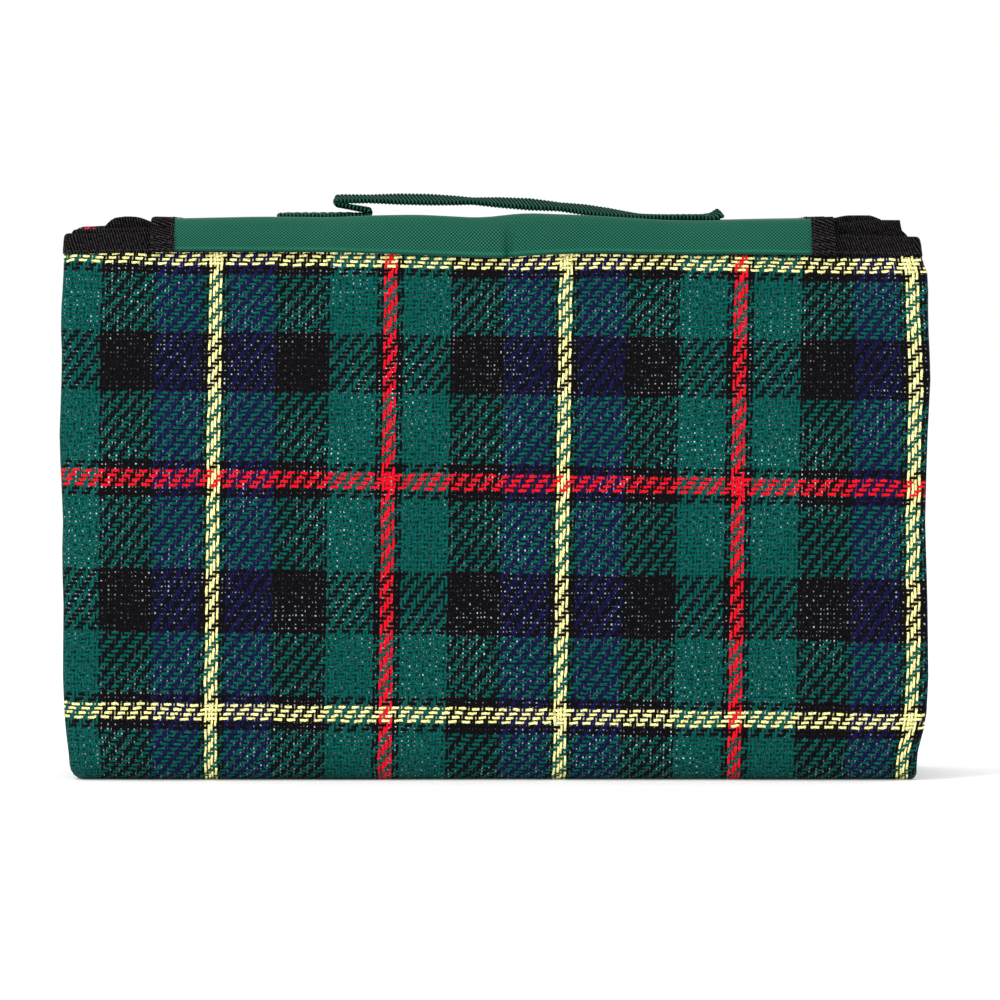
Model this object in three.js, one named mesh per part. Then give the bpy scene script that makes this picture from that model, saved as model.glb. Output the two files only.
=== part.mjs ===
// A tartan camp blanket, folded into its carrying shape under a sewn flap with a webbing handle.
//
// Millimetres, +Z up. +X runs along the folded width, and -Y faces out of the front panel.
// The origin is at the middle of the base of the closed blanket's box.
//
// The rug is one sheet of three plies: a woven face, a foam core and a thin backing. It is folded
// in half twice across its width, which stacks four layers, and that stack is then folded along
// its length in seven upright panels, like an accordion. A flap is sewn to the first panel. It
// runs over the top and down the far side, and a hook and loop tape holds it closed. The webbing
// handle is sewn to the top of the flap, and lies slumped on it with a fold at its left end.
import * as THREE from "three";

// The rug's plies, from the back of the sheet to its face.
const BACKING_THICKNESS = 0.2;
const FOAM_THICKNESS = 0.8;
const FACE_THICKNESS = 0.8;
const PLY_GAP = 0.1;

// The tape that binds the rug's edges: a channel folded over the edge.
const TAPE_WALL = 0.3;
const RUG_BINDING_WIDTH = 8.2;
const FLAP_BINDING_WIDTH = 9.5;
const TAPE_PLAY = 0.1; // from the channel's side to the plies in it
const EDGE_PLAY = 0.5; // from the channel's fold to the plies' cut edges
const CORNER_GAP = 0.3; // from the end bindings to the side bindings
const LAYER_GAP = 0.2; // between the bindings of neighbouring layers

// The folded pack.
const PACK_WIDTH = 340.8;
const FOLD_HEIGHT = 219.6; // from the base to the tops of the folds
const PANELS = 7;
const FIRST_EDGE_DROP = 3.4; // of the first panel's bound edge below the tops of the folds
const LAST_EDGE_LIFT = 1.5; // of the last panel's bound edge above the base
const OUTER_SIDE_SETBACK = 2.4; // of the outer layer's bound side edge from the pack's side
const INNER_SIDE_SETBACK = 3.4; // of the inner layer's

// The flap.
const FLAP_WIDTH = 270;
const FLAP_OUTER_THICKNESS = 0.6;
const FLAP_LINING_THICKNESS = 0.4;
const FLAP_FRONT_GAP = 0.4; // from the first panel's binding to the flap
const FLAP_TOP_GAP = 0.5; // from the tops of the folds to the flap
const FLAP_FOLD_GAP = 0.2; // between the flap's base, spine and cover
const BASE_DROP = 15.5; // from the flap's top to the seam on the first panel
const COVER_DROP = 154; // from the flap's top to the cover's lower edge
const COVER_CORNER_RADIUS = 25;

// The hook and loop tape between the last panel and the cover.
const CLOSURE_LENGTH = 200;
const CLOSURE_WIDTH = 25;
const CLOSURE_THICKNESS = 0.8;
const CLOSURE_SEAM_GAP = 0.3; // from each tape to the cloth it is sewn to
const CLOSURE_PILE_GAP = 0.4; // between the two tapes
const CLOSURE_LIFT = 12; // from the cover's lower edge to the hook tape

// The webbing handle.
const STRAP_WIDTH = 25;
const STRAP_THICKNESS = 1.8;
const STRAP_SEAM_GAP = 0.3; // from the handle's sewn ends to the flap
const STRAP_CUT_GAP = 0.3; // between the stretches of the handle
const STRAP_BEND_RADIUS = 1.25; // of its middle line where it folds back
const LEFT_END = [-86, -52]; // where the left end is sewn down, along X
const RIGHT_END = [60, 91];
const FOLD_LEG_LENGTH = 10; // the leg that lies back over the left end
const FOLD_LEG_RISE_DEG = 15;
const FOLD_END_X = -50.5;
const GRIP_END_X = 26;
const GRIP_END_RISE = 3.2; // of the grip's right end above the sewn ends

// Facets in each half turn of a fold, and in each quarter turn of the cover's corners.
const PANEL_FOLD_FACETS = 5; // an odd number leaves a flat strip under each lower fold
const LAYER_FOLD_FACETS = 3;
const CORNER_FACETS = 5;
const CURVE_STEPS = 8;

// Sizes that follow.
const SHEET_THICKNESS = BACKING_THICKNESS + FOAM_THICKNESS + FACE_THICKNESS + 2 * PLY_GAP;
const BINDING_THICKNESS = SHEET_THICKNESS + 2 * (TAPE_PLAY + TAPE_WALL);
const LAYER_PITCH = BINDING_THICKNESS + LAYER_GAP;
const PANEL_PITCH = 4 * LAYER_PITCH;
const HALF_STACK = 1.5 * LAYER_PITCH; // from the stack's middle to its outer layers' middles
const HALF_PACK = HALF_STACK + SHEET_THICKNESS / 2;
const LEFT_FOLD_X = -(PACK_WIDTH / 2 - BINDING_THICKNESS / 2 - HALF_STACK);
const RIGHT_FOLD_X = PACK_WIDTH / 2 - BINDING_THICKNESS / 2 - LAYER_PITCH / 2;
const LOW_FOLD_Z = PANEL_PITCH / 2 + HALF_PACK;
const HIGH_FOLD_Z = FOLD_HEIGHT - PANEL_PITCH / 2 - HALF_PACK;
const FIRST_EDGE_Z = FOLD_HEIGHT - FIRST_EDGE_DROP;
const FIRST_PANEL_Y = PANEL_PITCH / 2;
const LAST_PANEL_Y = FIRST_PANEL_Y + (PANELS - 1) * PANEL_PITCH;

const FLAP_PLIES = FLAP_OUTER_THICKNESS + PLY_GAP + FLAP_LINING_THICKNESS;
const FLAP_THICKNESS = FLAP_PLIES + 2 * (TAPE_PLAY + TAPE_WALL);
const FLAP_EDGE_X = FLAP_WIDTH / 2 - TAPE_WALL; // the inside of the flap's binding
const FLAP_BACK_Y = FIRST_PANEL_Y - HALF_STACK - BINDING_THICKNESS / 2 - FLAP_FRONT_GAP;
const FLAP_FRONT_Y = FLAP_BACK_Y - FLAP_THICKNESS;
const FLAP_TOP_Z = FOLD_HEIGHT + FLAP_TOP_GAP + FLAP_THICKNESS;
const SPINE_BOTTOM_Z = FLAP_TOP_Z - FLAP_THICKNESS;
const LOOP_Y = LAST_PANEL_Y + HALF_PACK + CLOSURE_SEAM_GAP;
const HOOK_Y = LOOP_Y + CLOSURE_THICKNESS + CLOSURE_PILE_GAP;
const COVER_PLIES_Y = HOOK_Y + CLOSURE_THICKNESS + CLOSURE_SEAM_GAP;
const COVER_Y = COVER_PLIES_Y - TAPE_PLAY - TAPE_WALL;
const COVER_BACK_Y = COVER_Y + FLAP_THICKNESS;
const COVER_BOTTOM_Z = FLAP_TOP_Z - COVER_DROP;
const MIDDLE_Y = (FLAP_FRONT_Y + COVER_BACK_Y) / 2;

const COLOURS = {
  tartan: 0x17443a,
  foam: 0xe9e7df,
  backing: 0x1d6b52,
  tape: 0x262326,
  flap: 0x22745a,
  lining: 0x2b2f30,
  closure: 0x1b1b1d,
  webbing: 0x1a4a3a,
};

function degrees(angle) {
  return (angle * Math.PI) / 180;
}

// The corners of a faceted bend whose facets touch a circle from outside, so that its offsets
// stay parallel. It starts at startAngle on the circle, and turns through the signed sweep.
function bend(centreA, centreB, radius, startAngle, sweep, facets) {
  const step = degrees(sweep) / (facets + 1);
  const reach = radius / Math.cos(step / 2);
  const corners = [];
  for (let k = 0; k <= facets; k += 1) {
    const angle = degrees(startAngle) + (k + 0.5) * step;
    corners.push(new THREE.Vector2(centreA + reach * Math.cos(angle), centreB + reach * Math.sin(angle)));
  }
  return corners;
}

// For each point of a path, the vector that offsets it to its left by one, with mitred corners.
function mitres(path) {
  const normals = [];
  for (let k = 0; k + 1 < path.length; k += 1) {
    const along = path[k + 1].clone().sub(path[k]).normalize();
    normals.push(new THREE.Vector2(-along.y, along.x));
  }
  return path.map((point, k) => {
    const before = normals[Math.max(k - 1, 0)];
    const after = normals[Math.min(k, normals.length - 1)];
    return before.clone().add(after).divideScalar(1 + before.dot(after));
  });
}

function offsetPath(path, distance) {
  const sideways = mitres(path);
  return path.map((point, k) => point.clone().addScaledVector(sideways[k], distance));
}

// The closed outline of a ribbon that follows a path between two offsets.
function ribbonOutline(path, low, high) {
  return [...offsetPath(path, high), ...offsetPath(path, low).reverse()];
}

// A prism of the outline with the given number of stations. place(a, b, station) puts the
// outline's point (a, b) of each station in the model.
function prism(outline, stations, place) {
  const steps = stations - 1;
  const shape = new THREE.Shape(outline);
  const geometry = new THREE.ExtrudeGeometry(shape, { depth: steps, steps, bevelEnabled: false });
  geometry.deleteAttribute("uv");
  const position = geometry.getAttribute("position");
  const point = new THREE.Vector3();
  for (let k = 0; k < position.count; k += 1) {
    point.fromBufferAttribute(position, k);
    position.setXYZ(k, ...place(point.x, point.y, Math.round(point.z)));
  }
  faceOutward(position);
  geometry.computeVertexNormals();
  return geometry;
}

// Placing a prism can mirror it, which turns it inside out. This turns it back.
function faceOutward(position) {
  const corners = [new THREE.Vector3(), new THREE.Vector3(), new THREE.Vector3()];
  const read = (k) => corners.forEach((corner, i) => corner.fromBufferAttribute(position, k + i));
  let volume = 0;
  for (let k = 0; k < position.count; k += 3) {
    read(k);
    volume += corners[0].dot(corners[1].clone().cross(corners[2])) / 6;
  }
  if (volume > 0) return;
  for (let k = 0; k < position.count; k += 3) {
    read(k);
    position.setXYZ(k + 1, ...corners[2]);
    position.setXYZ(k + 2, ...corners[1]);
  }
}

// A section carried along a path. The section's points are (across, offset): across runs square
// to the path's plane, and offset to the path's left. place(across, a, b) puts them in the model.
function sweep(section, path, place) {
  const sideways = mitres(path);
  return prism(section, path.length, (across, offset, station) => {
    const foot = path[station].clone().addScaledVector(sideways[station], offset);
    return place(across, foot.x, foot.y);
  });
}

// The section of a binding: a channel whose mouth points to the path's left, and whose fold is
// just outside the path. Its middle lies at the given place across.
function channel(width, thickness, middle) {
  const outside = thickness / 2;
  const inside = outside - TAPE_WALL;
  const mouth = width - TAPE_WALL;
  const corners = [
    [-outside, -TAPE_WALL],
    [-outside, mouth],
    [-inside, mouth],
    [-inside, 0],
    [inside, 0],
    [inside, mouth],
    [outside, mouth],
    [outside, -TAPE_WALL],
  ];
  return corners.map(([across, offset]) => new THREE.Vector2(middle + across, offset));
}

// A flat piece between two heights along the axis that its outline leaves free.
function slab(outline, low, high, place) {
  return prism(outline, 2, (a, b, station) => place(a, b, station === 0 ? low : high));
}

function rectangle(lowA, lowB, highA, highB) {
  return [
    new THREE.Vector2(lowA, lowB),
    new THREE.Vector2(highA, lowB),
    new THREE.Vector2(highA, highB),
    new THREE.Vector2(lowA, highB),
  ];
}

function piece(name, geometry, colour, roughness) {
  const material = new THREE.MeshStandardMaterial({ color: colour, roughness, metalness: 0 });
  const mesh = new THREE.Mesh(geometry, material);
  mesh.name = name;
  return mesh;
}

// The rug's path across its width, in (x, offset from the stack's middle). It starts at the inner
// bound edge, and its left is the woven face. inset shortens it at both ends.
function layerPath(inset) {
  const small = LAYER_PITCH / 2;
  return [
    new THREE.Vector2(PACK_WIDTH / 2 - INNER_SIDE_SETBACK - inset, small),
    ...bend(LEFT_FOLD_X, 0, small, 90, 180, LAYER_FOLD_FACETS),
    ...bend(RIGHT_FOLD_X, -LAYER_PITCH, small, 90, -180, LAYER_FOLD_FACETS),
    ...bend(LEFT_FOLD_X, 0, HALF_STACK, -90, -180, LAYER_FOLD_FACETS),
    new THREE.Vector2(PACK_WIDTH / 2 - OUTER_SIDE_SETBACK - inset, HALF_STACK),
  ];
}

// The stack's path along the rug's length, in (y, z), down the first panel and up the next.
// inset shortens it at both ends.
function panelPath(inset) {
  const path = [new THREE.Vector2(FIRST_PANEL_Y, FIRST_EDGE_Z - inset)];
  for (let fold = 1; fold < PANELS; fold += 1) {
    const low = fold % 2 === 1;
    const height = low ? LOW_FOLD_Z : HIGH_FOLD_Z;
    const turn = low ? 180 : -180;
    path.push(...bend(fold * PANEL_PITCH, height, PANEL_PITCH / 2, 180, turn, PANEL_FOLD_FACETS));
  }
  path.push(new THREE.Vector2(LAST_PANEL_Y, LAST_EDGE_LIFT + inset));
  return path;
}

const acrossWidth = (x, y, z) => [x, y, z];

// One ply of the folded sheet, between two distances from its back.
function rugPly(name, low, high, colour, roughness) {
  const back = -SHEET_THICKNESS / 2;
  const section = ribbonOutline(layerPath(EDGE_PLAY), back + low, back + high);
  return piece(name, sweep(section, panelPath(EDGE_PLAY), acrossWidth), colour, roughness);
}

// The binding on the rug's first or last edge, which the layer folds carry through the stack.
function endBinding(name, panelY, edgeZ, into) {
  const section = channel(RUG_BINDING_WIDTH, BINDING_THICKNESS, 0);
  const turned = section.map((point) => new THREE.Vector2(point.y, point.x));
  const place = (depth, x, offset) => [x, panelY + offset, edgeZ + into * depth];
  return piece(name, sweep(turned, layerPath(0), place), COLOURS.tape, 0.8);
}

// The binding on one of the rug's long side edges, which runs through all the panels.
function sideBinding(name, setback, offset) {
  const section = channel(RUG_BINDING_WIDTH, BINDING_THICKNESS, 0).map(
    (point) => new THREE.Vector2(PACK_WIDTH / 2 - setback - point.y, offset + point.x),
  );
  const inset = RUG_BINDING_WIDTH - TAPE_WALL + CORNER_GAP;
  return piece(name, sweep(section, panelPath(inset), acrossWidth), COLOURS.tape, 0.8);
}

function makeRug() {
  const foamLow = BACKING_THICKNESS + PLY_GAP;
  const faceLow = foamLow + FOAM_THICKNESS + PLY_GAP;
  const rug = new THREE.Group();
  rug.add(
    rugPly("backing_sheet", 0, BACKING_THICKNESS, COLOURS.backing, 0.5),
    rugPly("foam_core", foamLow, foamLow + FOAM_THICKNESS, COLOURS.foam, 0.9),
    rugPly("face_cloth", faceLow, faceLow + FACE_THICKNESS, COLOURS.tartan, 0.85),
    endBinding("binding_top", FIRST_PANEL_Y, FIRST_EDGE_Z, -1),
    endBinding("binding_end", LAST_PANEL_Y, LAST_EDGE_LIFT, 1),
    sideBinding("binding_side_outer", OUTER_SIDE_SETBACK, HALF_STACK),
    sideBinding("binding_side_inner", INNER_SIDE_SETBACK, LAYER_PITCH / 2),
  );
  return rug;
}

// Each of the flap's stretches lies in a plane of its own. These place a stretch whose outline is
// in (x, b), at a depth from the flap's outer side inward.
const onFront = (x, z, depth) => [x, FLAP_FRONT_Y + depth, z];
const onTop = (x, y, depth) => [x, y, FLAP_TOP_Z - depth];
const onBack = (x, z, depth) => [x, COVER_BACK_Y - depth, z];

function flapPlies(name, outline, place) {
  const outerLow = TAPE_WALL + TAPE_PLAY;
  const outerHigh = outerLow + FLAP_OUTER_THICKNESS;
  const liningLow = outerHigh + PLY_GAP;
  const liningHigh = liningLow + FLAP_LINING_THICKNESS;
  return [
    piece(`${name}_outer`, slab(outline, outerLow, outerHigh, place), COLOURS.flap, 0.6),
    piece(`${name}_lining`, slab(outline, liningLow, liningHigh, place), COLOURS.lining, 0.7),
  ];
}

function flapBinding(name, path, place) {
  const section = channel(FLAP_BINDING_WIDTH, FLAP_THICKNESS, FLAP_THICKNESS / 2);
  const geometry = sweep(section, path, (depth, x, b) => place(x, b, depth));
  return piece(name, geometry, COLOURS.tape, 0.8);
}

// A straight stretch of the flap between two places along it, with a binding on each side.
function flapStretch(name, low, high, place) {
  const ply = FLAP_EDGE_X - EDGE_PLAY;
  const left = [new THREE.Vector2(-FLAP_EDGE_X, high), new THREE.Vector2(-FLAP_EDGE_X, low)];
  const right = [new THREE.Vector2(FLAP_EDGE_X, low), new THREE.Vector2(FLAP_EDGE_X, high)];
  return [
    ...flapPlies(name, rectangle(-ply, low, ply, high), place),
    flapBinding(`${name}_binding_left`, left, place),
    flapBinding(`${name}_binding_right`, right, place),
  ];
}

// The cover's edge, down its left side, round its two lower corners and up its right side.
function coverEdge(inset) {
  const top = SPINE_BOTTOM_Z - FLAP_FOLD_GAP;
  const side = FLAP_EDGE_X - inset;
  const cornerX = FLAP_EDGE_X - COVER_CORNER_RADIUS;
  const cornerZ = COVER_BOTTOM_Z + TAPE_WALL + COVER_CORNER_RADIUS;
  const radius = COVER_CORNER_RADIUS - inset;
  return [
    new THREE.Vector2(-side, top),
    ...bend(-cornerX, cornerZ, radius, 180, 90, CORNER_FACETS),
    ...bend(cornerX, cornerZ, radius, 270, 90, CORNER_FACETS),
    new THREE.Vector2(side, top),
  ];
}

function closureTape(name, y) {
  const low = COVER_BOTTOM_Z + CLOSURE_LIFT;
  const outline = rectangle(-CLOSURE_LENGTH / 2, low, CLOSURE_LENGTH / 2, low + CLOSURE_WIDTH);
  const place = (x, z, depth) => [x, y + depth, z];
  return piece(name, slab(outline, 0, CLOSURE_THICKNESS, place), COLOURS.closure, 0.9);
}

function makeFlap() {
  const spineEndY = COVER_BACK_Y - TAPE_WALL - TAPE_PLAY;
  const spineStartY = FLAP_FRONT_Y + TAPE_WALL + TAPE_PLAY;
  const baseTop = SPINE_BOTTOM_Z - FLAP_FOLD_GAP;
  const flap = new THREE.Group();
  flap.add(
    ...flapStretch("flap_base", FLAP_TOP_Z - BASE_DROP, baseTop, onFront),
    ...flapStretch("flap_spine", spineStartY, spineEndY, onTop),
    ...flapPlies("flap_cover", coverEdge(EDGE_PLAY), onBack),
    flapBinding("flap_cover_binding", coverEdge(0), onBack),
    closureTape("loop_tape", LOOP_Y),
    closureTape("hook_tape", HOOK_Y),
  );
  return flap;
}

// A stretch of the handle whose middle line is a path in (x, z).
function strap(name, path) {
  const outline = ribbonOutline(path, -STRAP_THICKNESS / 2, STRAP_THICKNESS / 2);
  const place = (x, z, y) => [x, y, z];
  const low = MIDDLE_Y - STRAP_WIDTH / 2;
  return piece(name, slab(outline, low, low + STRAP_WIDTH, place), COLOURS.webbing, 0.75);
}

// The handle's middle line folds back over its left end, then forward again into the grip, and
// comes down to its right end.
function makeHandle() {
  const flapOuterTop = FLAP_TOP_Z - TAPE_WALL - TAPE_PLAY;
  const sewnZ = flapOuterTop + STRAP_SEAM_GAP + STRAP_THICKNESS / 2;
  const radius = STRAP_BEND_RADIUS;
  const turn = 180 - FOLD_LEG_RISE_DEG;
  const leg = degrees(turn);
  const lowBend = new THREE.Vector2(FOLD_END_X, sewnZ + radius);
  const legRun = new THREE.Vector2(Math.cos(leg), Math.sin(leg)).multiplyScalar(FOLD_LEG_LENGTH);
  const across = new THREE.Vector2(Math.sin(leg), -Math.cos(leg)).multiplyScalar(2 * radius);
  const highBend = lowBend.clone().add(legRun).add(across);
  const gripZ = highBend.y + radius;
  const foldPath = [
    new THREE.Vector2(LEFT_END[1] + STRAP_CUT_GAP, sewnZ),
    ...bend(lowBend.x, lowBend.y, radius, -90, turn, LAYER_FOLD_FACETS),
    ...bend(highBend.x, highBend.y, radius, 90 + turn, -turn, LAYER_FOLD_FACETS),
    new THREE.Vector2(FOLD_END_X, gripZ),
  ];

  const gripStart = new THREE.Vector2(FOLD_END_X + STRAP_CUT_GAP, gripZ);
  const gripEnd = new THREE.Vector2(GRIP_END_X, sewnZ + GRIP_END_RISE);
  const third = (gripEnd.x - gripStart.x) / 3;
  const slope = (gripEnd.y - gripStart.y) / (2 * third);
  const grip = new THREE.CubicBezierCurve(
    gripStart,
    new THREE.Vector2(gripStart.x + third, gripZ),
    new THREE.Vector2(gripEnd.x - third, gripEnd.y - slope * third),
    gripEnd,
  );

  const legStart = new THREE.Vector2(GRIP_END_X + STRAP_CUT_GAP, gripEnd.y + slope * STRAP_CUT_GAP);
  const legEnd = new THREE.Vector2(RIGHT_END[0] - STRAP_CUT_GAP, sewnZ);
  const legThird = (legEnd.x - legStart.x) / 3;
  const legCurve = new THREE.CubicBezierCurve(
    legStart,
    new THREE.Vector2(legStart.x + legThird, legStart.y + slope * legThird),
    new THREE.Vector2(legEnd.x - legThird, sewnZ),
    legEnd,
  );

  const straight = ([from, to]) => [new THREE.Vector2(from, sewnZ), new THREE.Vector2(to, sewnZ)];
  const handle = new THREE.Group();
  handle.add(
    strap("handle_end_left", straight(LEFT_END)),
    strap("handle_fold_left", foldPath),
    strap("handle_grip", grip.getPoints(CURVE_STEPS)),
    strap("handle_leg_right", legCurve.getPoints(CURVE_STEPS)),
    strap("handle_end_right", straight(RIGHT_END)),
  );
  return handle;
}

const blanket = new THREE.Group();
const centred = new THREE.Group();
centred.position.y = -MIDDLE_Y;
centred.add(makeRug(), makeFlap(), makeHandle());
blanket.add(centred);

export default blanket;
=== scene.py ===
# %% [markdown]
# # A folded camp blanket
# The object is a tartan picnic rug, folded into an upright pack that closes under a green flap
# with a webbing handle. The imported model gives the sizes and the places of its pieces. This lesson
# makes the cloth itself: how the rug folds, how its yarns cross, how the tape binds its edges, and
# how the flap and the handle lie over the pack.

# %% Load the frame
import math

import bpy
import numpy as np
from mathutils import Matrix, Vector


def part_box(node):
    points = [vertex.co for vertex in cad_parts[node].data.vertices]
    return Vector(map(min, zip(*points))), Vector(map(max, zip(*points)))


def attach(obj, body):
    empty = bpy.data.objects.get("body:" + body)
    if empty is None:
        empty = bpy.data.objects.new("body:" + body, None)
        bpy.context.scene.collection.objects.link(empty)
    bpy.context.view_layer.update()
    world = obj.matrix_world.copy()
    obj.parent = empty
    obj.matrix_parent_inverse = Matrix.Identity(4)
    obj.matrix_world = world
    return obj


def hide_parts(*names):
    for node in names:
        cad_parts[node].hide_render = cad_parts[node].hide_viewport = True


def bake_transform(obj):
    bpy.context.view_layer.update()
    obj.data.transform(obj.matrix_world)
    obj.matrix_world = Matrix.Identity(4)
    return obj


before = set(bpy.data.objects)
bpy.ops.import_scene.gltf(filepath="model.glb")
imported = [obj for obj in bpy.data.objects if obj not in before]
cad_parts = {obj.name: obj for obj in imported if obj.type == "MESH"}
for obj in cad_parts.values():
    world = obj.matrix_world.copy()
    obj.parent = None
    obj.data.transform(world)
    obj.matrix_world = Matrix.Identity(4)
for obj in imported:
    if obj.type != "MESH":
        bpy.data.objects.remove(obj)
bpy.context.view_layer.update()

# %% [markdown]
# ## Sizes
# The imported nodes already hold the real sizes, so nothing is measured twice. The distance between
# the first and the last panel's bindings gives the pitch of the panels, and four layers share one
# pitch. A scene in metres is easier to read with a name for a millimetre.

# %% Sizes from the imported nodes
MM = 0.001
PANELS = 7
LAYERS = 4
TAPE_WALL = 0.3 * MM  # the thickness of one wall of folded tape


def middle(node, axis):
    low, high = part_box(node)
    return (low[axis] + high[axis]) / 2


face_low, face_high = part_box("face_cloth")
first_y = middle("binding_top", 1)
panel_pitch = (middle("binding_end", 1) - first_y) / (PANELS - 1)
layer_pitch = panel_pitch / LAYERS
half_stack = layer_pitch * (LAYERS - 1) / 2
sheet_thickness = (face_high.y - face_low.y) - (PANELS - 1) * panel_pitch - 2 * half_stack
half_pack = half_stack + sheet_thickness / 2

first_edge_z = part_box("binding_top")[1].z - TAPE_WALL
last_edge_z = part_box("binding_end")[0].z + TAPE_WALL
outer_edge_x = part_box("binding_side_outer")[1].x - TAPE_WALL
inner_edge_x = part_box("binding_side_inner")[1].x - TAPE_WALL
left_fold_x = face_low.x + half_pack
right_fold_x = face_high.x - (layer_pitch + sheet_thickness) / 2
low_fold_z = face_low.z + panel_pitch / 2 + half_pack
high_fold_z = face_high.z - panel_pitch / 2 - half_pack
top_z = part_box("flap_spine_outer")[1].z
print(f"panel pitch {panel_pitch / MM:.2f} mm, sheet {sheet_thickness / MM:.2f} mm")

# %% [markdown]
# ## Routes
# Folded cloth, a bound edge and a handle all follow the same kind of line: straight runs joined by
# round turns. A spline would drift away from the fold's real radius, so a small class keeps the
# runs and turns as they are, and reads the point and the direction at any length along them.


# %% A route of runs and turns
class Route:
    """A flat route of straight runs and round turns. Lengths are in metres, angles in degrees."""

    def __init__(self, start, heading):
        self.legs = []
        self.length = 0.0
        self.foot = np.array(start, float)
        self.heading = math.radians(heading)

    def run(self, length):
        return self.add_leg(length, 0.0)

    def turn(self, radius, angle):
        return self.add_leg(abs(math.radians(angle)) * radius, math.copysign(1 / radius, angle))

    def add_leg(self, length, curl):
        self.legs.append((self.length, length, *self.foot, self.heading, curl))
        self.length += length
        self.foot = self.read(np.array([self.length]))[0][0]
        self.heading += curl * length
        return self

    def read(self, along):
        """The points at these lengths, and the unit vectors to the route's left there."""
        legs = np.array(self.legs)
        leg = np.searchsorted(legs[:, 0], along, side="right") - 1
        leg = np.clip(leg, 0, len(legs) - 1)
        start, _, foot_a, foot_b, heading, curl = (legs[leg, k] for k in range(6))
        gone = along - start
        turned = heading + curl * gone
        bent = curl != 0
        safe = np.where(bent, curl, 1.0)
        step_a = np.where(bent, (np.sin(turned) - np.sin(heading)) / safe, gone * np.cos(heading))
        step_b = np.where(bent, (np.cos(heading) - np.cos(turned)) / safe, gone * np.sin(heading))
        points = np.stack([foot_a + step_a, foot_b + step_b], -1)
        return points, np.stack([-np.sin(turned), np.cos(turned)], -1)

    def turned(self, along):
        """How far the route has turned to the left by these lengths, in radians."""
        total = 0.0 * along
        for start, length, *_, curl in self.legs:
            total = total + curl * np.clip(along - start, 0, length)
        return total

    def stations(self, step, turn_steps):
        """Lengths for a mesh's rows: closer together in turns and towards the ends of runs."""
        marks = []
        for start, length, *_, curl in self.legs:
            count = turn_steps if curl else max(2, round(length / step))
            share = np.arange(count) / count
            if not curl:
                share = 0.4 * share + 0.6 * (0.5 - 0.5 * np.cos(math.pi * share))
            marks.extend(start + length * share)
        return np.array(marks + [self.length])


sample = Route((0, 0), 0).run(1.0).turn(0.5, 90)
print("a run of 1 m and a quarter turn of 0.5 m end at", sample.foot.round(3))


# %% [markdown]
# ## The rug's two routes
# The rug is folded in half twice across its width, then in seven panels along its length. So one
# route runs across the width, back and forth through four layers, and a second one carries that
# stack down and up through the panels. A point of the cloth is a length on each route and a
# distance from the middle of the sheet. The folds are laid directly like this, so the cloth keeps
# its length and each yarn keeps its place.

# %% Fold the rug
across = (
    Route((inner_edge_x, layer_pitch / 2), 180)
    .run(inner_edge_x - left_fold_x)
    .turn(layer_pitch / 2, 180)
    .run(right_fold_x - left_fold_x)
    .turn(layer_pitch / 2, -180)
    .run(right_fold_x - left_fold_x)
    .turn(half_stack, -180)
    .run(outer_edge_x - left_fold_x)
)
INNER_LAYER, SECOND_LAYER, FRONT_LAYER, FAR_LAYER = 0, 2, 4, 6

along = Route((first_y, first_edge_z), -90).run(first_edge_z - low_fold_z)
for fold in range(PANELS - 1):
    along.turn(panel_pitch / 2, 180 if fold % 2 == 0 else -180)
    ends_low = last_edge_z if fold == PANELS - 2 else low_fold_z
    along.run(high_fold_z - ends_low)

rug_width, rug_length = across.length, along.length
print(f"the flat rug is {rug_width:.3f} x {rug_length:.3f} m")


def on_layer(layer, x):
    """The length along the width where a layer passes x."""
    start, _, start_x, *_ = across.legs[layer]
    return start + abs(x - start_x)


# %% [markdown]
# ## Nothing folds quite square
# Real layers creep as they are folded. Behind the front layer the bound edges stand a few
# millimetres higher and their corners don't line up. Each layer slides in its own plane only, so
# layers that were apart stay apart.

# %% How the layers creep
# A place across the rug's width, and how far the layer stands up there, in millimetres.
CREEP = [
    (on_layer(INNER_LAYER, 0.167), 5.4),
    (on_layer(INNER_LAYER, 0.150), 4.8),
    (on_layer(INNER_LAYER, 0.125), 1.8),
    (on_layer(INNER_LAYER, 0.0), 1.2),
    (on_layer(INNER_LAYER, -0.164), 1.6),
    (on_layer(SECOND_LAYER, 0.0), 0.4),
    (on_layer(SECOND_LAYER, 0.167), -1.2),
    (on_layer(FRONT_LAYER, 0.150), -1.6),
    (on_layer(FRONT_LAYER, 0.0), -0.8),
    (on_layer(FRONT_LAYER, -0.164), 0.0),
    (on_layer(FAR_LAYER, -0.1560), 0.2),
    (on_layer(FAR_LAYER, -0.1535), 4.0),
    (on_layer(FAR_LAYER, -0.1510), 5.6),
    (on_layer(FAR_LAYER, -0.1460), 6.0),
    (on_layer(FAR_LAYER, -0.1410), 5.6),
    (on_layer(FAR_LAYER, -0.1370), 4.2),
    (on_layer(FAR_LAYER, -0.1335), 2.6),
    (on_layer(FAR_LAYER, 0.0), 1.4),
    (on_layer(FAR_LAYER, 0.125), 2.8),
    (on_layer(FAR_LAYER, 0.147), 6.6),
    (on_layer(FAR_LAYER, 0.160), 6.8),
    (on_layer(FAR_LAYER, 0.1655), 5.4),
    (on_layer(FAR_LAYER, 0.168), 3.0),
]
CREEP_FADE = 70 * MM  # how far down the first panel the creep dies out
CORNER_FADE = 150 * MM  # how far down it the corners stop drawing in
INNER_DRAW = 3.4 * MM
INNER_REACH = 80 * MM
OUTER_DRAW = 10.5 * MM
OUTER_REACH = 100 * MM


def hump(value, centre, width):
    return np.exp(-(((value - centre) / width) ** 2))


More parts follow.
